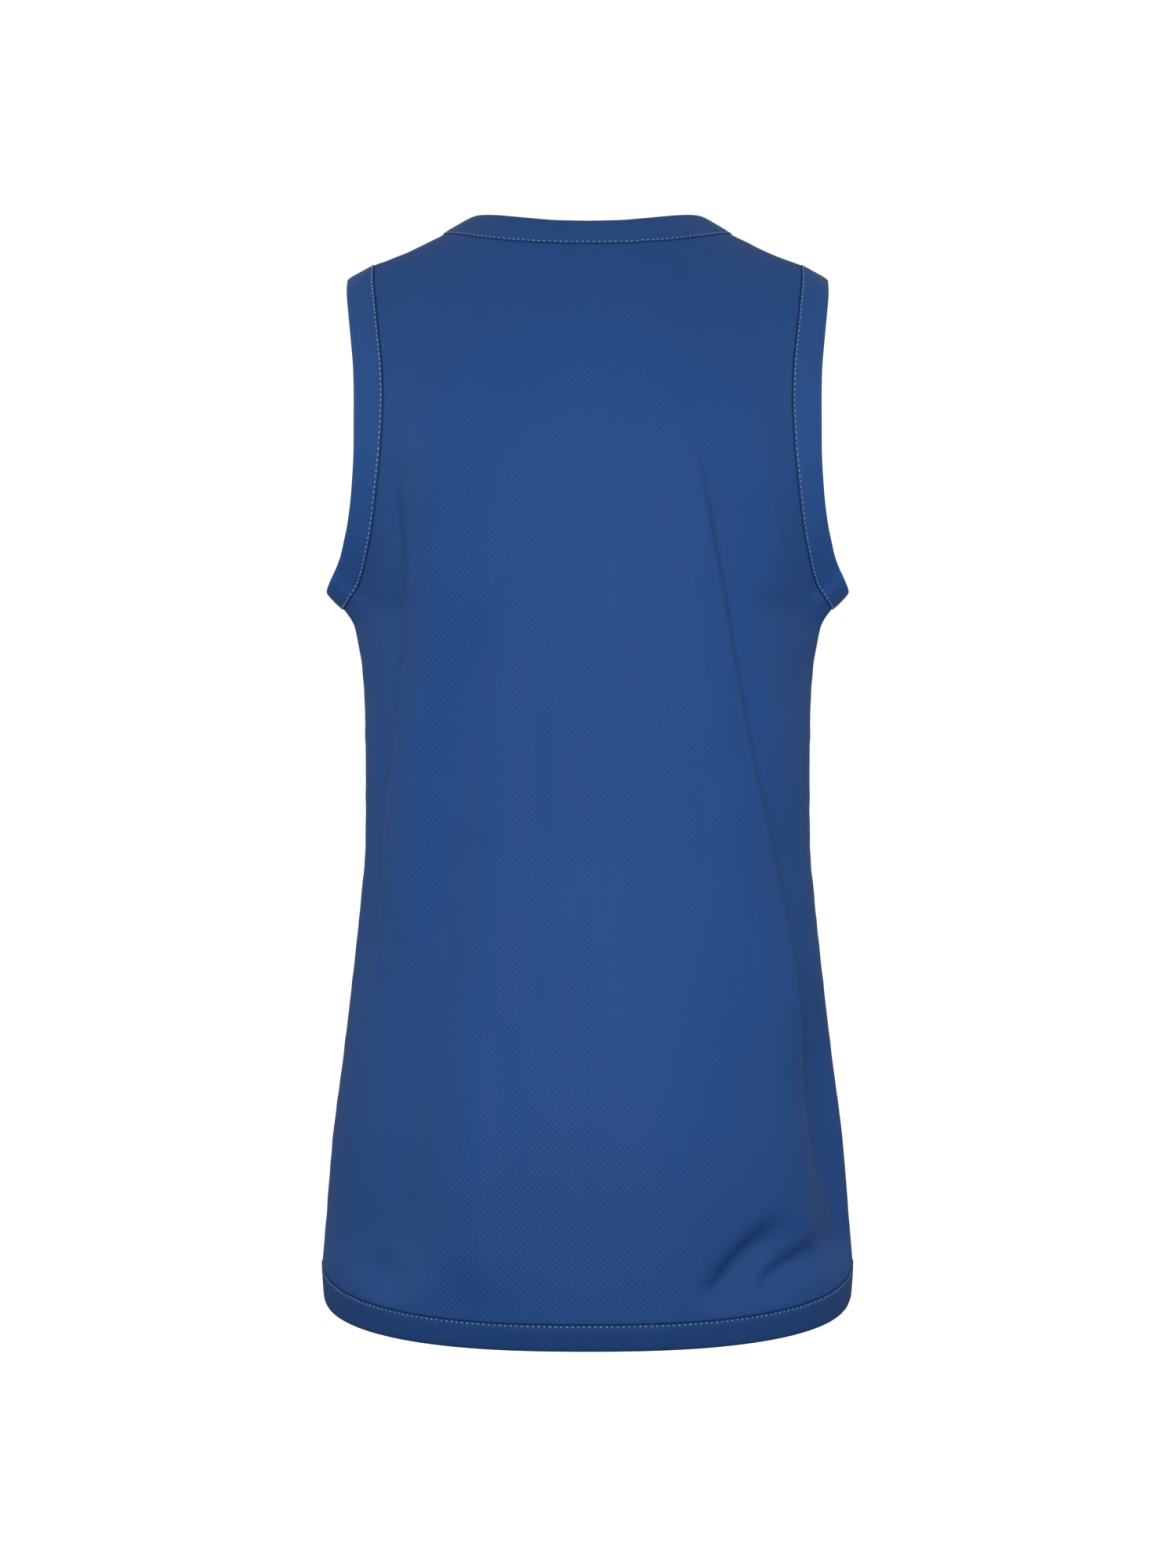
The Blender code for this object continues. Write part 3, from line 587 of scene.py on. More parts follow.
# %% Helpers for shader trees
def new_group(name, inputs, outputs):
    """A shader node group with float inputs {name: default} and outputs {name: socket type}."""
    tree = bpy.data.node_groups.new(name, "ShaderNodeTree")
    for label, default in inputs.items():
        kind = "NodeSocketFloat" if isinstance(default, (int, float)) else "NodeSocketColor"
        if default is None:
            kind = "NodeSocketVector"
        socket = tree.interface.new_socket(name=label, in_out="INPUT", socket_type=kind)
        if default is not None:
            socket.default_value = default
    for label, kind in outputs.items():
        tree.interface.new_socket(name=label, in_out="OUTPUT", socket_type=kind)
    return tree, tree.nodes.new("NodeGroupInput"), tree.nodes.new("NodeGroupOutput")


def math_node(tree, operation, first, second=None):
    node = tree.nodes.new("ShaderNodeMath")
    node.operation = operation
    for socket, value in zip(node.inputs, (first, second)):
        if value is None:
            continue
        if isinstance(value, (int, float)):
            socket.default_value = value
        else:
            tree.links.new(value, socket)
    return node.outputs[0]


def mix_colour(tree, share, first, second, blend="MIX"):
    node = tree.nodes.new("ShaderNodeMix")
    node.data_type = "RGBA"
    node.blend_type = blend
    for key, value in (("Factor_Float", share), ("A_Color", first), ("B_Color", second)):
        socket = next(s for s in node.inputs if s.identifier == key)
        if isinstance(value, (int, float, tuple)):
            socket.default_value = value
        else:
            tree.links.new(value, socket)
    return next(s for s in node.outputs if s.identifier == "Result_Color")


print("helpers ready")


# %% The chequered knit, as a node group
DIMPLE_RANGE = (-0.15, 0.75)         # of the chequer's wave, from flat cloth to a full dimple
STREAK_LENGTH = 42.0                 # mm
LOOP_PITCH = (0.9175, 1.19)          # mm across and up, a finer chequer for the knitted loops
LOOP_RELIEF = 0.18                   # share of a dimple's depth


def build_knit_group():
    tree, given, result = new_group(
        "closed_mesh_knit",
        {"Cloth Length": None, "Dimple Pitch": 3.67, "Row Pitch": 3.58, "Streak Width": 1.1},
        {"Dimple": "NodeSocketFloat", "Streak": "NodeSocketFloat", "Relief": "NodeSocketFloat"})
    split = tree.nodes.new("ShaderNodeSeparateXYZ")
    tree.links.new(given.outputs["Cloth Length"], split.inputs[0])
    u, v = split.outputs[0], split.outputs[1]

    def wave(length, pitch):
        turns = math_node(tree, "DIVIDE", length, pitch)
        return math_node(tree, "COSINE", math_node(tree, "MULTIPLY", turns, 2 * math.pi))

    chequer = math_node(tree, "MULTIPLY", wave(u, given.outputs["Dimple Pitch"]),
                        wave(v, given.outputs["Row Pitch"]))
    dimple = tree.nodes.new("ShaderNodeMapRange")
    dimple.interpolation_type = "SMOOTHSTEP"
    dimple.inputs["From Min"].default_value = DIMPLE_RANGE[0]
    dimple.inputs["From Max"].default_value = DIMPLE_RANGE[1]
    tree.links.new(chequer, dimple.inputs["Value"])
    tree.links.new(dimple.outputs[0], result.inputs["Dimple"])

    streak_place = tree.nodes.new("ShaderNodeCombineXYZ")
    tree.links.new(math_node(tree, "DIVIDE", u, given.outputs["Streak Width"]), streak_place.inputs[0])
    tree.links.new(math_node(tree, "DIVIDE", v, STREAK_LENGTH), streak_place.inputs[1])
    streak = tree.nodes.new("ShaderNodeTexNoise")
    streak.inputs["Scale"].default_value = 1.0
    streak.inputs["Detail"].default_value = 2.0
    tree.links.new(streak_place.outputs[0], streak.inputs["Vector"])
    tree.links.new(streak.outputs[0], result.inputs["Streak"])

    loops = math_node(tree, "MULTIPLY", wave(u, LOOP_PITCH[0]), wave(v, LOOP_PITCH[1]))
    relief = math_node(tree, "ADD", math_node(tree, "MULTIPLY", dimple.outputs[0], -1.0),
                       math_node(tree, "MULTIPLY", loops, LOOP_RELIEF))
    tree.links.new(relief, result.inputs["Relief"])
    return tree


KNIT_GROUP = build_knit_group()
print("node group", KNIT_GROUP.name, "with", len(KNIT_GROUP.nodes), "nodes")


# %% Uneven dye, and painted shade in the seam groove, as a node group
BLOTCH_SCALE = 11.0                  # about so many blotches in a metre
BLOTCH_CONTRAST = 0.14


def build_tone_and_shade_group():
    tree, given, result = new_group(
        "cloth_tone_and_painted_seam_shade",
        {"Cloth": (1.0, 1.0, 1.0, 1.0), "Knit Shade": 0.0, "Streak": 0.5, "Seam": 0.0,
         "Knit Contrast": 0.16, "Streak Contrast": 0.10, "Painted Seam Shade": 0.7},
        {"Color": "NodeSocketColor"})
    place = tree.nodes.new("ShaderNodeTexCoord")
    blotch = tree.nodes.new("ShaderNodeTexNoise")
    blotch.inputs["Scale"].default_value = BLOTCH_SCALE
    blotch.inputs["Detail"].default_value = 2.5
    tree.links.new(place.outputs["Object"], blotch.inputs["Vector"])
    level = math_node(tree, "MULTIPLY", math_node(tree, "SUBTRACT", blotch.outputs[0], 0.5),
                      BLOTCH_CONTRAST)
    streak = math_node(tree, "MULTIPLY", math_node(tree, "SUBTRACT", given.outputs["Streak"], 0.5),
                       given.outputs["Streak Contrast"])
    knit = math_node(tree, "MULTIPLY", given.outputs["Knit Shade"], given.outputs["Knit Contrast"])
    uneven = math_node(tree, "ADD", math_node(tree, "ADD", level, streak), 1.0)
    bright = math_node(tree, "SUBTRACT", uneven, knit)
    # painted shade: the colour darkens where the seam attribute is high, for the shadow in the seam groove
    seam = math_node(tree, "MULTIPLY", given.outputs["Seam"], given.outputs["Painted Seam Shade"])
    bright = math_node(tree, "MULTIPLY", bright, math_node(tree, "SUBTRACT", 1.0, seam))
    scale = tree.nodes.new("ShaderNodeVectorMath")
    scale.operation = "SCALE"
    tree.links.new(given.outputs["Cloth"], scale.inputs[0])
    tree.links.new(bright, scale.inputs["Scale"])
    tree.links.new(scale.outputs[0], result.inputs["Color"])
    return tree


TONE_AND_SHADE_GROUP = build_tone_and_shade_group()
print("node group", TONE_AND_SHADE_GROUP.name, "with", len(TONE_AND_SHADE_GROUP.nodes), "nodes")


# %% The cloth materials
CLOTH_SPECULAR = 0.24
SHEEN_ROUGHNESS = 0.42
SHEEN_TINT = (0.62, 0.75, 1.0, 1.0)


def cloth_material(name, colour, knit_contrast, roughness, sheen, relief=0.08, painted_seam_shade=0.45):
    material = bpy.data.materials.new(name)
    material.use_nodes = True
    tree = material.node_tree
    shader = tree.nodes["Principled BSDF"]
    shader.inputs["Roughness"].default_value = roughness
    shader.inputs["Specular IOR Level"].default_value = CLOTH_SPECULAR
    shader.inputs["Sheen Weight"].default_value = sheen
    shader.inputs["Sheen Roughness"].default_value = SHEEN_ROUGHNESS
    shader.inputs["Sheen Tint"].default_value = SHEEN_TINT
    lengths_map = tree.nodes.new("ShaderNodeUVMap")
    lengths_map.uv_map = "cloth_mm"
    # the seam attribute drives the painted shade in the seam grooves
    seam = tree.nodes.new("ShaderNodeAttribute")
    seam.attribute_name = "seam"
    knit = tree.nodes.new("ShaderNodeGroup")
    knit.node_tree = KNIT_GROUP
    tone = tree.nodes.new("ShaderNodeGroup")
    tone.node_tree = TONE_AND_SHADE_GROUP
    tone.inputs["Cloth"].default_value = colour
    tone.inputs["Knit Contrast"].default_value = knit_contrast
    tone.inputs["Painted Seam Shade"].default_value = painted_seam_shade
    bump = tree.nodes.new("ShaderNodeBump")
    bump.inputs["Strength"].default_value = 1.0
    bump.inputs["Distance"].default_value = relief * MM
    for start, end in (
            (lengths_map.outputs[0], knit.inputs["Cloth Length"]),
            (knit.outputs["Dimple"], tone.inputs["Knit Shade"]),
            (knit.outputs["Streak"], tone.inputs["Streak"]),
            (seam.outputs["Fac"], tone.inputs["Seam"]),
            (tone.outputs["Color"], shader.inputs["Base Color"]),
            (knit.outputs["Relief"], bump.inputs["Height"]),
            (bump.outputs[0], shader.inputs["Normal"])):
        tree.links.new(start, end)
    return material


BLUE_MESH = cloth_material("blue_mesh", (0.0150, 0.0790, 0.2860, 1.0), 0.06, 0.66, 0.03, relief=0.06)
# the hem band is the same blue mesh painted about 15% darker, for the shade that falls over the low hem
SHADED_HEM_MESH = cloth_material("hem_mesh_painted_shade", (0.0125, 0.0670, 0.2450, 1.0), 0.06, 0.66, 0.02, relief=0.06)
# the armhole bands are the same blue mesh painted lighter, for the light and highlights they catch
LIT_BAND_MESH = cloth_material("band_mesh_painted_light", (0.0185, 0.0900, 0.3100, 1.0), 0.05, 0.58, 0.04, relief=0.05)
NECK_MESH = cloth_material("neck_mesh", (0.0160, 0.0800, 0.2840, 1.0), 0.05, 0.62, 0.03, relief=0.05)
PALE_REVERSE = cloth_material("pale_reverse", (0.62, 0.64, 0.66, 1.0), 0.10, 0.75, 0.04)
print("cloth materials:", BLUE_MESH.name, SHADED_HEM_MESH.name, LIT_BAND_MESH.name, NECK_MESH.name,
      PALE_REVERSE.name)


# %% The stitch thread
THREAD_SHADES = ((0.10, 0.21, 0.45, 1.0), (0.28, 0.44, 0.72, 1.0))
THREAD_RELIEF = 0.1                  # mm


def thread_material():
    material = bpy.data.materials.new("pale_blue_thread")
    material.use_nodes = True
    tree = material.node_tree
    shader = tree.nodes["Principled BSDF"]
    shader.inputs["Roughness"].default_value = 0.5
    shader.inputs["Sheen Weight"].default_value = 0.2
    place = tree.nodes.new("ShaderNodeTexCoord")
    ply = tree.nodes.new("ShaderNodeTexNoise")
    ply.inputs["Scale"].default_value = 420.0
    tree.links.new(place.outputs["Object"], ply.inputs["Vector"])
    colour = mix_colour(tree, ply.outputs[0], *THREAD_SHADES)
    tree.links.new(colour, shader.inputs["Base Color"])
    bump = tree.nodes.new("ShaderNodeBump")
    bump.inputs["Distance"].default_value = THREAD_RELIEF * MM
    tree.links.new(ply.outputs[0], bump.inputs["Height"])
    tree.links.new(bump.outputs[0], shader.inputs["Normal"])
    return material


THREAD = thread_material()
print("thread material:", THREAD.name)

# %% [markdown]
# ## The two panels
#
# Each panel is a thin wall: its outer layer carries the folds, its inner layer is the same
# surface moved in by the thickness of the cloth, and narrow rims close it along the cut edges.
# Blender's Solidify modifier could do this too. By hand, each layer gets its own material and
# its lengths along the cloth in one place.

# %% Meshes from grids of points
CLOTH_WALL = 1.2
PAINTED_SHADE_REACH = 0.6       # painted shade: the cloth's colour is darkened this near to a seam, for the shadow in its groove


def store(mesh, lengths_of_loops, painted_shade_of_points, indices):
    """Writes the cloth lengths as a UV map, the painted seam shade from the nearness to a seam, and the
    material of each face.
    """
    layer = mesh.uv_layers.new(name="cloth_mm")
    layer.data.foreach_set("uv", lengths_of_loops.reshape(-1).astype(np.float32))
    seam = mesh.attributes.new("seam", "FLOAT", "POINT")
    seam.data.foreach_set("value", painted_shade_of_points.reshape(-1).astype(np.float32))
    mesh.polygons.foreach_set("material_index", indices.astype(np.int32))
    mesh.shade_smooth()
    mesh.update()


def new_piece(name, points, faces, materials):
    mesh = bpy.data.meshes.new(name)
    mesh.from_pydata((points.reshape(-1, 3) * MM).tolist(), [], faces.tolist())
    for material in materials:
        mesh.materials.append(material)
    piece = bpy.data.objects.new(name, mesh)
    bpy.context.scene.collection.objects.link(piece)
    return piece


def grid_faces(rows, columns, ring):
    """Quads over a grid, as rows of four point numbers; a ring's last column meets its first."""
    across = columns if ring else columns - 1
    row, column = np.meshgrid(np.arange(rows - 1), np.arange(across), indexing="ij")
    beside = (column + 1) % columns
    return np.stack((row * columns + column, row * columns + beside, (row + 1) * columns + beside,
                     (row + 1) * columns + column), axis=-1).reshape(-1, 4)


print("cloth is", CLOTH_WALL, "mm thick where it shows")


# %% Sew up the back and the front
def rim_pairs(rows, columns):
    """Point numbers round the edge of a grid, in order."""
    hem = np.arange(columns)
    right = np.arange(rows) * columns + columns - 1
    top = (rows - 1) * columns + hem[::-1]
    left = (np.arange(rows) * columns)[::-1]
    loop = np.concatenate((hem[:-1], right[:-1], top[:-1], left[:-1]))
    return loop, np.roll(loop, -1)


def build_panel(side):
    part = panels[side]
    rows, columns = part["outer"].shape[:2]
    count = rows * columns
    inner = part["outer"] - part["normals"] * CLOTH_WALL
    outer_faces = grid_faces(rows, columns, False)
    start, end = rim_pairs(rows, columns)
    rim_faces = np.stack((end, start, start + count, end + count), axis=1)
    faces = np.concatenate((outer_faces, outer_faces[:, ::-1] + count, rim_faces))
    if side == "front":
        faces = faces[:, ::-1]
    knit_lengths = np.stack((lengths[side][0], knit_rows[side]), axis=-1)
    lengths_of_points = np.tile(knit_lengths.reshape(-1, 2), (2, 1))
    # painted shade along the panel's seams, where the groove lies in shadow
    shade = np.exp(-(part["nearest"] / PAINTED_SHADE_REACH) ** 2)
    indices = np.concatenate((np.zeros(len(outer_faces)), np.ones(len(outer_faces)),
                              np.zeros(len(rim_faces))))
    piece = new_piece(f"{side}_cloth", np.concatenate((part["outer"].reshape(-1, 3), inner.reshape(-1, 3))),
                      faces, (BLUE_MESH, PALE_REVERSE))
    store(piece.data, lengths_of_points[faces], np.tile(shade.reshape(-1), 2), indices)
    return piece


panel_pieces = {side: build_panel(side) for side in FACING}
for side, piece in panel_pieces.items():
    print(piece.name, len(piece.data.polygons) * 2, "triangles")

# %% [markdown]
# ## The folded bands
#
# Each band is one strip of cloth folded double, sewn on with its folded edge outward. It stands a
# little proud of the panel, its long edges are round, and a shallow groove runs where the thread
# pulls it down. So it is lofted: one small cross-section, carried round the opening.

# %% The cross-section of a band
# Distance from the seam and height over the cloth, in mm. A positive distance is measured from
# the seam, and a negative one from the finished edge. The first two corners, at 0, lie on the
# seam, and the later one at 0 on the finished edge.
BAND_SECTION = (
    (0.0, -0.95), (0.0, -0.25), (0.2, 0.25), (0.6, 0.42), (1.1, 0.22), (1.7, 0.42), (2.6, 0.62),
    (4.5, 0.72), (7.0, 0.76), (-7.0, 0.74), (-4.5, 0.68), (-2.6, 0.52), (-1.5, 0.28), (-0.8, 0.0),
    (-0.25, -0.35), (0.0, -0.8), (-0.25, -1.25), (-0.8, -1.55), (-1.8, -1.72), (-5.0, -1.78),
    (5.0, -1.72), (2.0, -1.6), (0.6, -1.45),
)
SEAM_CORNERS = 2
STITCH_GROOVE = 4       # the corner at the bottom of the stitch groove
SEAM_OFFSET = 0.02      # the band begins this far from the panel's edge


def ring_tangents(points):
    return np.roll(points, -1, axis=0) - np.roll(points, 1, axis=0)


def same_way(vectors, guide):
    return vectors * np.sign(np.sum(vectors * guide, axis=1))[:, None]


def band_frames(seam, seam_normals, edge):
    """Where the band starts, the way to its edge, and its outward direction at each end."""
    off_seam = unit(np.cross(seam_normals, ring_tangents(seam)))
    start = seam + same_way(off_seam, edge - seam) * SEAM_OFFSET
    edge_normals = same_way(unit(np.cross(ring_tangents(seam + edge), edge - seam)), seam_normals)
    return start, edge - start, edge_normals


def ring_length(points):
    """Distance round a ring at each point, with its whole length at the end."""
    steps = np.linalg.norm(np.roll(points, -1, axis=0) - points, axis=1)
    return np.concatenate(([0], np.cumsum(steps)))


print(len(BAND_SECTION), "corners in a band's cross-section")


# %% Loft a band round its opening
def build_band(name, seam, seam_normals, edge, material):
    start, way, edge_normals = band_frames(seam, seam_normals, edge)
    width = np.linalg.norm(way, axis=1)
    along = ring_length((seam + edge) / 2)
    rings, places = [], []
    for distance, height in BAND_SECTION:
        from_seam = distance > 0 or (distance == 0 and len(rings) < SEAM_CORNERS)
        part = np.clip(distance / width if from_seam else 1 + distance / width, 0, 1)[:, None]
        normals = unit(seam_normals * (1 - part) + edge_normals * part)
        rings.append(start + way * part + normals * height)
        places.append(float(np.mean(part)) * float(np.mean(width)))
    grid = np.array(rings + rings[:1])
    count = len(seam)
    faces = grid_faces(len(grid), count, True) % (len(rings) * count)
    row = np.repeat(np.arange(len(rings)), count)
    column = np.tile(np.arange(count), len(rings))
    across = np.array(places + places[:1])
    corners = np.stack((
        np.stack((along[column], across[row]), 1), np.stack((along[column + 1], across[row]), 1),
        np.stack((along[column + 1], across[row + 1]), 1), np.stack((along[column], across[row + 1]), 1)), 1)
    # painted shade beside the seam, where the band's groove lies in shadow
    shade = np.exp(-(np.array(places) / PAINTED_SHADE_REACH) ** 2)
    corner_points = np.array(rings)[faces // count, faces % count]
    edges = corner_points[:, 2] - corner_points[:, 0], corner_points[:, 3] - corner_points[:, 1]
    volume = np.sum(corner_points[:, 0] * np.cross(*edges))
    if volume < 0:
        faces, corners = faces[:, ::-1], corners[:, ::-1]
    piece = new_piece(name, np.array(rings), faces, (material,))
    store(piece.data, corners, np.repeat(shade, count), np.zeros(len(faces)))
    return piece, np.array(rings)


print("bands are lofted from the seam to their folded edge")


# %% Neck band: across the back, then across the front
def pull_flat(point):
    """A point on a shoulder or side seam lies on the middle plane."""
    point[1] = 0.0


def neck_ring():
    seam, normals, edge = [], [], []
    inside = np.flatnonzero(np.abs(COLUMNS) <= NECK_SHARE + 1e-9)
    for side in ("back", "front"):
        steps = inside[:-1] if side == "back" else inside[:0:-1]
        across, height = neck_curve(NECK_EDGE, side, np.clip(COLUMNS[steps] / NECK_SHARE, -1, 1))
        edge_points = form_points(side, across, height)
        for i, step in enumerate(steps):
            corner = panels[side]["flat_edge"][-1, step].copy()
            if i == 0:
                pull_flat(corner)
                pull_flat(edge_points[i])
            seam.append(corner)
            normals.append(panels[side]["normals"][-1, step])
            edge.append(edge_points[i])
    return np.array(seam), np.array(normals), np.array(edge)


band_rings = {"neck": neck_ring()}
print("neck seam is", round(ring_length(band_rings["neck"][0])[-1]), "mm round")


# %% Armhole bands: down the back and up the front
def armhole_ring(hand):
    station = np.arccos(np.clip(1 - 2 * (SHOULDER_HEIGHT - np.array(ARMHOLE["seam_height"]))
                                / (SHOULDER_HEIGHT - UNDERARM_HEIGHT), -1, 1))
    rows = np.arange(UNDERARM_ROW, len(ROWS))
    turn = math.pi * (len(ROWS) - 1 - rows) / ARMHOLE_ROWS
    column = -1 if hand > 0 else 0
    seam, normals, edge = [], [], []
    for side in ("back", "front"):
        order = np.arange(len(rows))[::-1][:-1] if side == "back" else np.arange(len(rows))[:-1]
        out, forward, height = (smooth(station, ARMHOLE[key], turn) for key in
                                ("edge_across", "edge_out", "edge_height"))
        scoop = side_reach("back", ROWS[rows]) - side_reach(side, ROWS[rows])
        forward = forward + SCOOP_FORWARD * scoop
        edge_points = np.stack((hand * (out - scoop), FACING[side] * forward, height), 1)
        for i, k in enumerate(order):
            corner = panels[side]["flat_edge"][rows[k], column].copy()
            if i == 0:
                pull_flat(corner)
            seam.append(corner)
            normals.append(panels[side]["normals"][rows[k], column])
            edge.append(edge_points[k])
    return np.array(seam), np.array(normals), np.array(edge)


band_rings["armhole_left"] = armhole_ring(-1)
band_rings["armhole_right"] = armhole_ring(1)
print("armhole seam is", round(ring_length(band_rings["armhole_left"][0])[-1]), "mm round")


# %% Hem band: across the back, then across the front
HEM_TUCK = 2.6          # the hem turns in by this much at its lower edge
HEM_FOLLOWS = 0.8       # share of a fold at the seam that reaches the lower edge


def hem_ring():
    seam, normals, edge = [], [], []
    last = len(COLUMNS) - 1
    for side in ("back", "front"):
        steps = np.arange(last) if side == "back" else np.arange(last, 0, -1)
        for i, step in enumerate(steps):
            corner = panels[side]["flat_edge"][0, step].copy()
            width = HEM_BAND_HEIGHT + (HEM_BAND_SIDE - HEM_BAND_HEIGHT) * hem_turn(COLUMNS[step])
            low = bare[side][0][0, step, 2] - width
            across = np.sin(COLUMNS[step] * math.pi / 2) * form_column("half_width", low)
            below = form_points(side, across, low)
            tuck = fold_lift[side][0, step] * HEM_FOLLOWS - HEM_TUCK
            below = below + panels[side]["normals"][0, step] * tuck
            if i == 0:
                pull_flat(corner)
                pull_flat(below)
            seam.append(corner)
            normals.append(panels[side]["normals"][0, step])
            edge.append(below)
    return np.array(seam), np.array(normals), np.array(edge)


band_rings["hem"] = hem_ring()
print("hem seam is", round(ring_length(band_rings["hem"][0])[-1]), "mm round")

# %% Build the four bands
BAND_MATERIALS = {"neck": NECK_MESH, "armhole_left": LIT_BAND_MESH, "armhole_right": LIT_BAND_MESH, "hem": SHADED_HEM_MESH}
bands = {}
grooves = {}
for name, material in BAND_MATERIALS.items():
    bands[name], section_rings = build_band(f"{name}_binding", *band_rings[name], material)
    grooves[name] = section_rings[STITCH_GROOVE]
    print(bands[name].name, len(bands[name].data.polygons) * 2, "triangles")

# %% [markdown]
# ## The stitches
#
# The thread shows as a row of small pale beads, 3.3 mm apart, one for each stitch. A Geometry
# Nodes tree lays them: it turns a guide line into a curve, sets points along it at the stitch
# pitch, and puts a bead on each, lying along the seam. The tree ends in real geometry, so the
# result becomes a plain mesh of its own.

# %% The stitch tree
def build_stitch_tree():
    tree = bpy.data.node_groups.new("stitch_run", "GeometryNodeTree")
    face = tree.interface
    face.new_socket(name="Geometry", in_out="INPUT", socket_type="NodeSocketGeometry")
    for label, default in (("Pitch", 3.3 * MM), ("Bead Length", 2.3 * MM), ("Bead Width", 1.2 * MM),
                           ("Bead Height", 0.9 * MM), ("Unevenness", 0.18)):
        face.new_socket(name=label, in_out="INPUT", socket_type="NodeSocketFloat").default_value = default
    face.new_socket(name="Thread", in_out="INPUT", socket_type="NodeSocketMaterial")
    face.new_socket(name="Geometry", in_out="OUTPUT", socket_type="NodeSocketGeometry")
    given, result = tree.nodes.new("NodeGroupInput"), tree.nodes.new("NodeGroupOutput")

    def add(kind, **settings):
        node = tree.nodes.new(kind)
        for key, value in settings.items():
            setattr(node, key, value)
        return node

    line = add("GeometryNodeMeshToCurve")
    resample = add("GeometryNodeResampleCurve", mode="LENGTH")
    bead = add("GeometryNodeMeshUVSphere")
    bead.inputs["Segments"].default_value = 8
    bead.inputs["Rings"].default_value = 5
    bead.inputs["Radius"].default_value = 0.5
    outward = add("GeometryNodeInputNamedAttribute", data_type="FLOAT_VECTOR")
    outward.inputs["Name"].default_value = "outward"
    stand = add("FunctionNodeAlignRotationToVector", axis="Z", pivot_axis="AUTO")
    along = add("FunctionNodeAlignRotationToVector", axis="X", pivot_axis="Z")
    tangent = add("GeometryNodeInputTangent")
    size = add("ShaderNodeCombineXYZ")
    uneven = add("FunctionNodeRandomValue", data_type="FLOAT")
    uneven.inputs["Seed"].default_value = 7
    spread = add("ShaderNodeMath", operation="MULTIPLY")
    spread.inputs[1].default_value = -1.0
    low = add("ShaderNodeMath", operation="ADD")
    low.inputs[0].default_value = 1.0
    grow = add("ShaderNodeVectorMath", operation="SCALE")
    place = add("GeometryNodeInstanceOnPoints")
    real = add("GeometryNodeRealizeInstances")
    paint = add("GeometryNodeSetMaterial")
    smooth_shade = add("GeometryNodeSetShadeSmooth")
    random_low = next(s for s in uneven.inputs if s.identifier == "Min_001")
    random_high = next(s for s in uneven.inputs if s.identifier == "Max_001")
    random_high.default_value = 1.0
    random_value = next(s for s in uneven.outputs if s.identifier == "Value_001")
    attribute = next(s for s in outward.outputs if s.name == "Attribute" and s.enabled)
    for start, end in (
            (given.outputs["Geometry"], line.inputs["Mesh"]),
            (line.outputs["Curve"], resample.inputs["Curve"]),
            (given.outputs["Pitch"], resample.inputs["Length"]),
            (given.outputs["Bead Length"], size.inputs["X"]),
            (given.outputs["Bead Width"], size.inputs["Y"]),
            (given.outputs["Bead Height"], size.inputs["Z"]),
            (given.outputs["Unevenness"], spread.inputs[0]),
            (spread.outputs[0], low.inputs[1]),
            (low.outputs[0], random_low),
            (size.outputs[0], grow.inputs[0]),
            (random_value, grow.inputs["Scale"]),
            (attribute, stand.inputs["Vector"]),
            (stand.outputs[0], along.inputs["Rotation"]),
            (tangent.outputs[0], along.inputs["Vector"]),
            (resample.outputs["Curve"], place.inputs["Points"]),
            (bead.outputs["Mesh"], place.inputs["Instance"]),
            (along.outputs[0], place.inputs["Rotation"]),
            (grow.outputs[0], place.inputs["Scale"]),
            (place.outputs[0], real.inputs["Geometry"]),
            (real.outputs[0], smooth_shade.inputs["Geometry"]),
            (smooth_shade.outputs[0], paint.inputs["Geometry"]),
            (given.outputs["Thread"], paint.inputs["Material"]),
            (paint.outputs[0], result.inputs[0])):
        tree.links.new(start, end)
    return tree


STITCH_TREE = build_stitch_tree()
print("stitch tree with", len(STITCH_TREE.nodes), "nodes")

# %% Sew round each opening
# Pitch, then the length, width and height of a bead in mm. The left armhole has the plumpest
# stitches and the neck the slightest.
STITCHES = {
    "neck": (3.3, 2.0, 0.9, 0.7),
    "armhole_left": (3.3, 2.2, 1.2, 1.0),
    "armhole_right": (3.3, 2.4, 0.95, 0.8),
    "hem": (3.3, 1.9, 0.95, 0.8),
}
THREAD_LIFT = 0.15      # the beads' middles lie this far over the bottom of the groove


def sew(name, line, outward, sizes):
    guide_mesh = bpy.data.meshes.new(f"{name}_guide")
    count = len(line)
    guide_mesh.from_pydata((line * MM).tolist(), [(i, (i + 1) % count) for i in range(count)], [])
    facing = guide_mesh.attributes.new("outward", "FLOAT_VECTOR", "POINT")
    facing.data.foreach_set("vector", outward.reshape(-1).astype(np.float32))
    guide = bpy.data.objects.new(f"{name}_guide", guide_mesh)
    bpy.context.scene.collection.objects.link(guide)
    modifier = guide.modifiers.new("stitches", "NODES")
    modifier.node_group = STITCH_TREE
    named = {item.name: item.identifier for item in STITCH_TREE.interface.items_tree
             if item.in_out == "INPUT"}
    for label, value in zip(("Pitch", "Bead Length", "Bead Width", "Bead Height"), sizes):
        modifier[named[label]] = value * MM
    modifier[named["Thread"]] = THREAD
    ready = guide.evaluated_get(bpy.context.evaluated_depsgraph_get())
    piece = bpy.data.objects.new(f"{name}_stitches", bpy.data.meshes.new_from_object(ready))
    bpy.context.scene.collection.objects.link(piece)
    bpy.data.objects.remove(guide, do_unlink=True)
    return piece


stitches = {}
for name, sizes in STITCHES.items():
    seam_normals = band_rings[name][1]
    stitches[name] = sew(name, grooves[name] + seam_normals * THREAD_LIFT, seam_normals, sizes)
    print(stitches[name].name, len(stitches[name].data.polygons), "faces")

# %% [markdown]
# ## What each piece stands for
#
# Every visible piece rides on the jersey's one body. A panel or a band takes the place of its
# plain solid, and the stitches come on top.

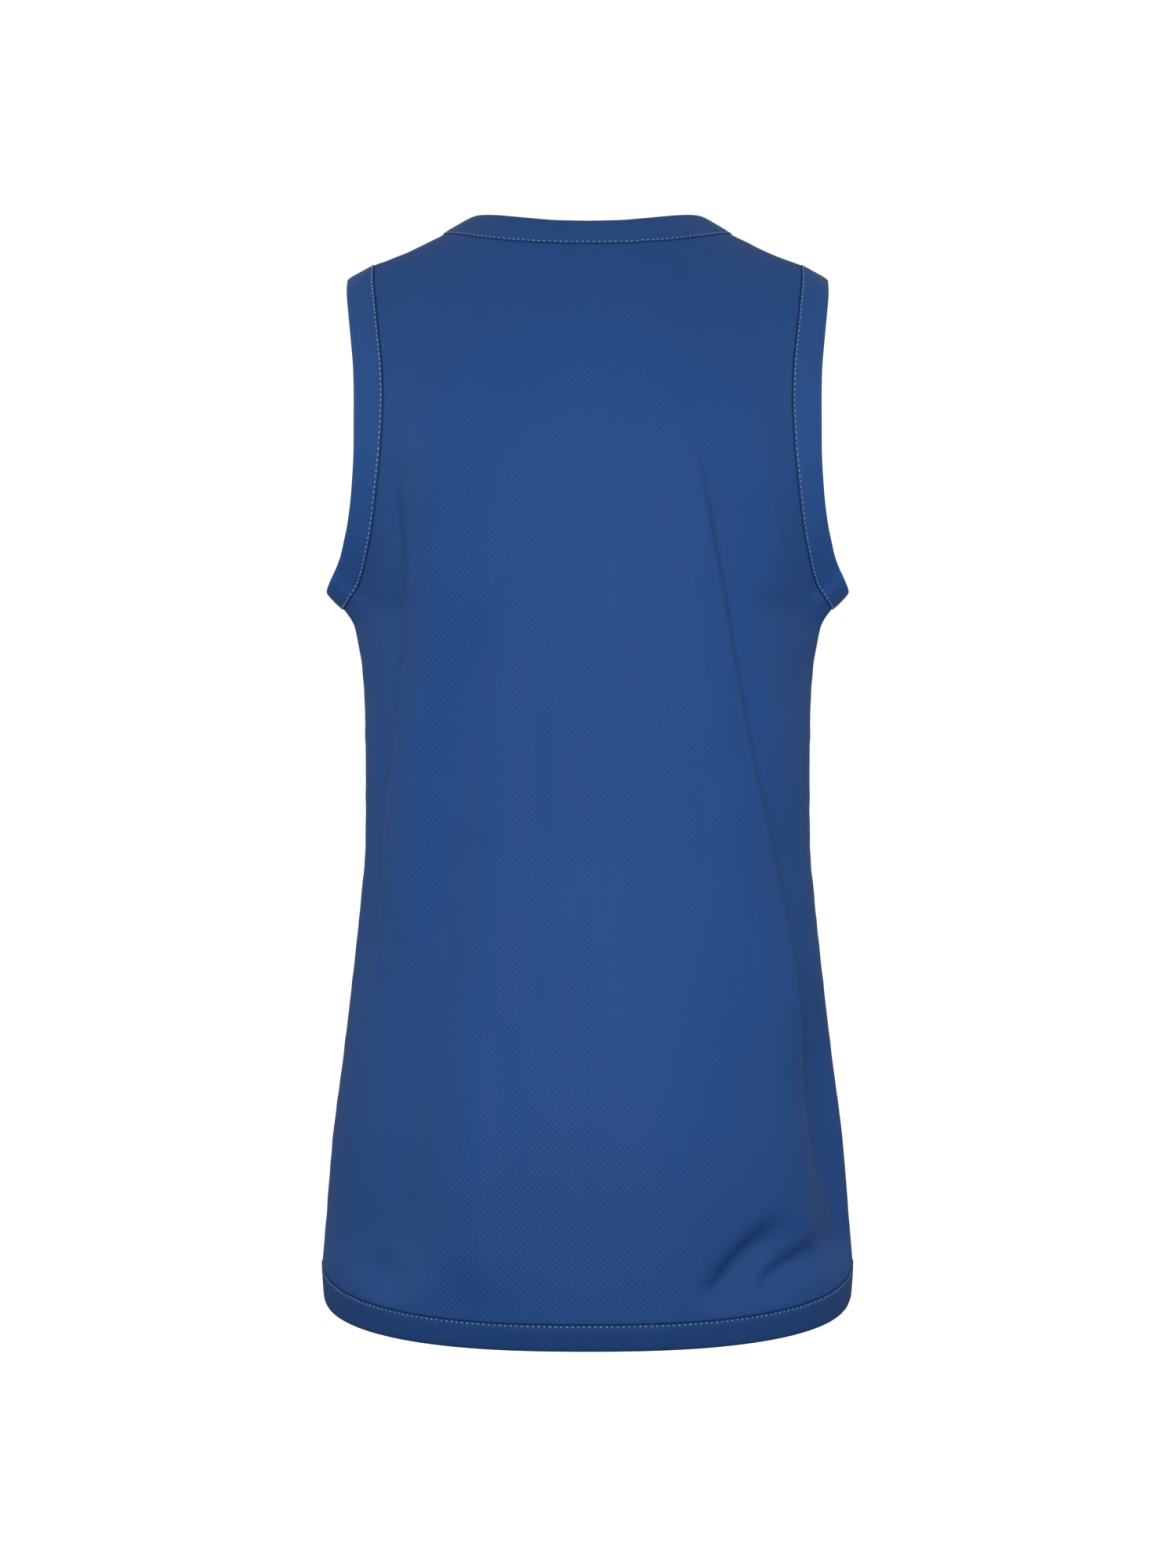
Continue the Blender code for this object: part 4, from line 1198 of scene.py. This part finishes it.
# %% Bodies and solids
SOLIDS = {"neck": "neck_band", "armhole_left": "armhole_band_left", "armhole_right": "armhole_band_right",
          "hem": "hem_band"}
for side, piece in panel_pieces.items():
    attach(piece, "root")
    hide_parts(f"{side}_panel")
for name, piece in bands.items():
    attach(piece, "root")
    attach(stitches[name], "root")
    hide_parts(SOLIDS[name])
print(len(panel_pieces) + 2 * len(bands), "pieces placed")

# %% [markdown]
# ## Floor, light and camera
#
# The picture is a cut-out on white in soft, even light from the camera's side, a little stronger
# in the middle. A soft box between the camera and the back does that. Two lights, a little above
# the shoulders, lift the left side more than the right. A large one stands before the front, and
# a white world fills the rest. The camera stands 2.1 m behind the shoulders, about level with
# the jersey's middle.

# %% A pale floor, well below the hem
FLOOR_HEIGHT = -0.95
FLOOR_HALF = 400.0
FLOOR_GLOW = 0.93       # lifts the floor to white for the camera, and lights nothing else
FLOOR_GREY = (0.3, 0.3, 0.3, 1.0)


def build_floor():
    mesh = bpy.data.meshes.new("pale_floor")
    h = FLOOR_HALF
    corners = [(x, y, FLOOR_HEIGHT) for x, y in ((-h, -h), (h, -h), (h, h), (-h, h))]
    mesh.from_pydata(corners, [], [(0, 1, 2, 3)])
    material = bpy.data.materials.new("pale_floor")
    material.use_nodes = True
    tree = material.node_tree
    shader = tree.nodes["Principled BSDF"]
    shader.inputs["Base Color"].default_value = FLOOR_GREY
    shader.inputs["Roughness"].default_value = 0.9
    shader.inputs["Emission Color"].default_value = (1.0, 1.0, 1.0, 1.0)
    seen = tree.nodes.new("ShaderNodeLightPath")
    tree.links.new(math_node(tree, "MULTIPLY", seen.outputs["Is Camera Ray"], FLOOR_GLOW),
                   shader.inputs["Emission Strength"])
    mesh.materials.append(material)
    floor = bpy.data.objects.new("pale_floor", mesh)
    bpy.context.scene.collection.objects.link(floor)


build_floor()
print("floor at", FLOOR_HEIGHT, "m")


# %% Soft lights and a white world
def soft_light(name, place, aim, size, power):
    light = bpy.data.lights.new(name, "AREA")
    light.shape = "RECTANGLE"
    light.size, light.size_y = size
    light.energy = power
    lamp = bpy.data.objects.new(name, light)
    way = np.array(aim) - np.array(place)
    turn = math.atan2(-way[0], way[1])
    lift = math.atan2(way[2], math.hypot(way[0], way[1]))
    lamp.location = place
    lamp.rotation_euler = (math.pi / 2 + lift, 0, turn)
    lamp.visible_camera = False
    bpy.context.scene.collection.objects.link(lamp)


MIDDLE = (0.0, 0.0, -0.25)
WORLD_FILL = 0.43       # how strongly the white world lights the jersey
WORLD_SEEN = 1.05       # and how bright the camera sees it
# Each light's place and size in metres, and its power in watts.
LIGHTS = (
    ("main_softbox", (0.06, -0.75, -0.27), (0.5, 0.5), 2.6),
    ("left_side", (-1.5, -0.35, 0.1), (0.6, 0.6), 5.2),
    ("right_side", (1.5, -0.35, 0.15), (0.6, 0.6), 3.4),
    ("front_fill", (0.0, 2.2, 0.0), (1.4, 1.4), 14.0),
)
for name, place, size, power in LIGHTS:
    soft_light(name, place, MIDDLE, size, power)


def white_world():
    world = bpy.data.worlds.new("white_studio")
    bpy.context.scene.world = world
    world.use_nodes = True
    tree = world.node_tree
    background = tree.nodes["Background"]
    background.inputs["Color"].default_value = (1.0, 1.0, 1.0, 1.0)
    seen = tree.nodes.new("ShaderNodeLightPath")
    level = tree.nodes.new("ShaderNodeMapRange")
    level.inputs["To Min"].default_value = WORLD_FILL
    level.inputs["To Max"].default_value = WORLD_SEEN
    tree.links.new(seen.outputs["Is Camera Ray"], level.inputs["Value"])
    tree.links.new(level.outputs[0], background.inputs["Strength"])


white_world()
bpy.context.scene.view_settings.view_transform = "Standard"
print(len(LIGHTS), "soft lights and a white world")

# %% The camera
CAMERA_DISTANCE = 2.1
CAMERA_HEIGHT = -0.3283
CAMERA_ACROSS = 0.0002
VIEW_HEIGHT = 0.9656    # metres seen from top to bottom in the plane through the shoulders
SENSOR_WIDTH = 36.0     # mm
camera_data = bpy.data.cameras.new("camera")
camera_data.sensor_fit = "AUTO"
camera_data.sensor_width = SENSOR_WIDTH
camera_data.lens = SENSOR_WIDTH * CAMERA_DISTANCE / VIEW_HEIGHT
camera = bpy.data.objects.new("camera", camera_data)
camera.location = (CAMERA_ACROSS, -CAMERA_DISTANCE, CAMERA_HEIGHT)
camera.rotation_euler = (math.pi / 2, 0, 0)
bpy.context.scene.collection.objects.link(camera)
bpy.context.scene.camera = camera
print(f"lens {camera_data.lens:.1f} mm")
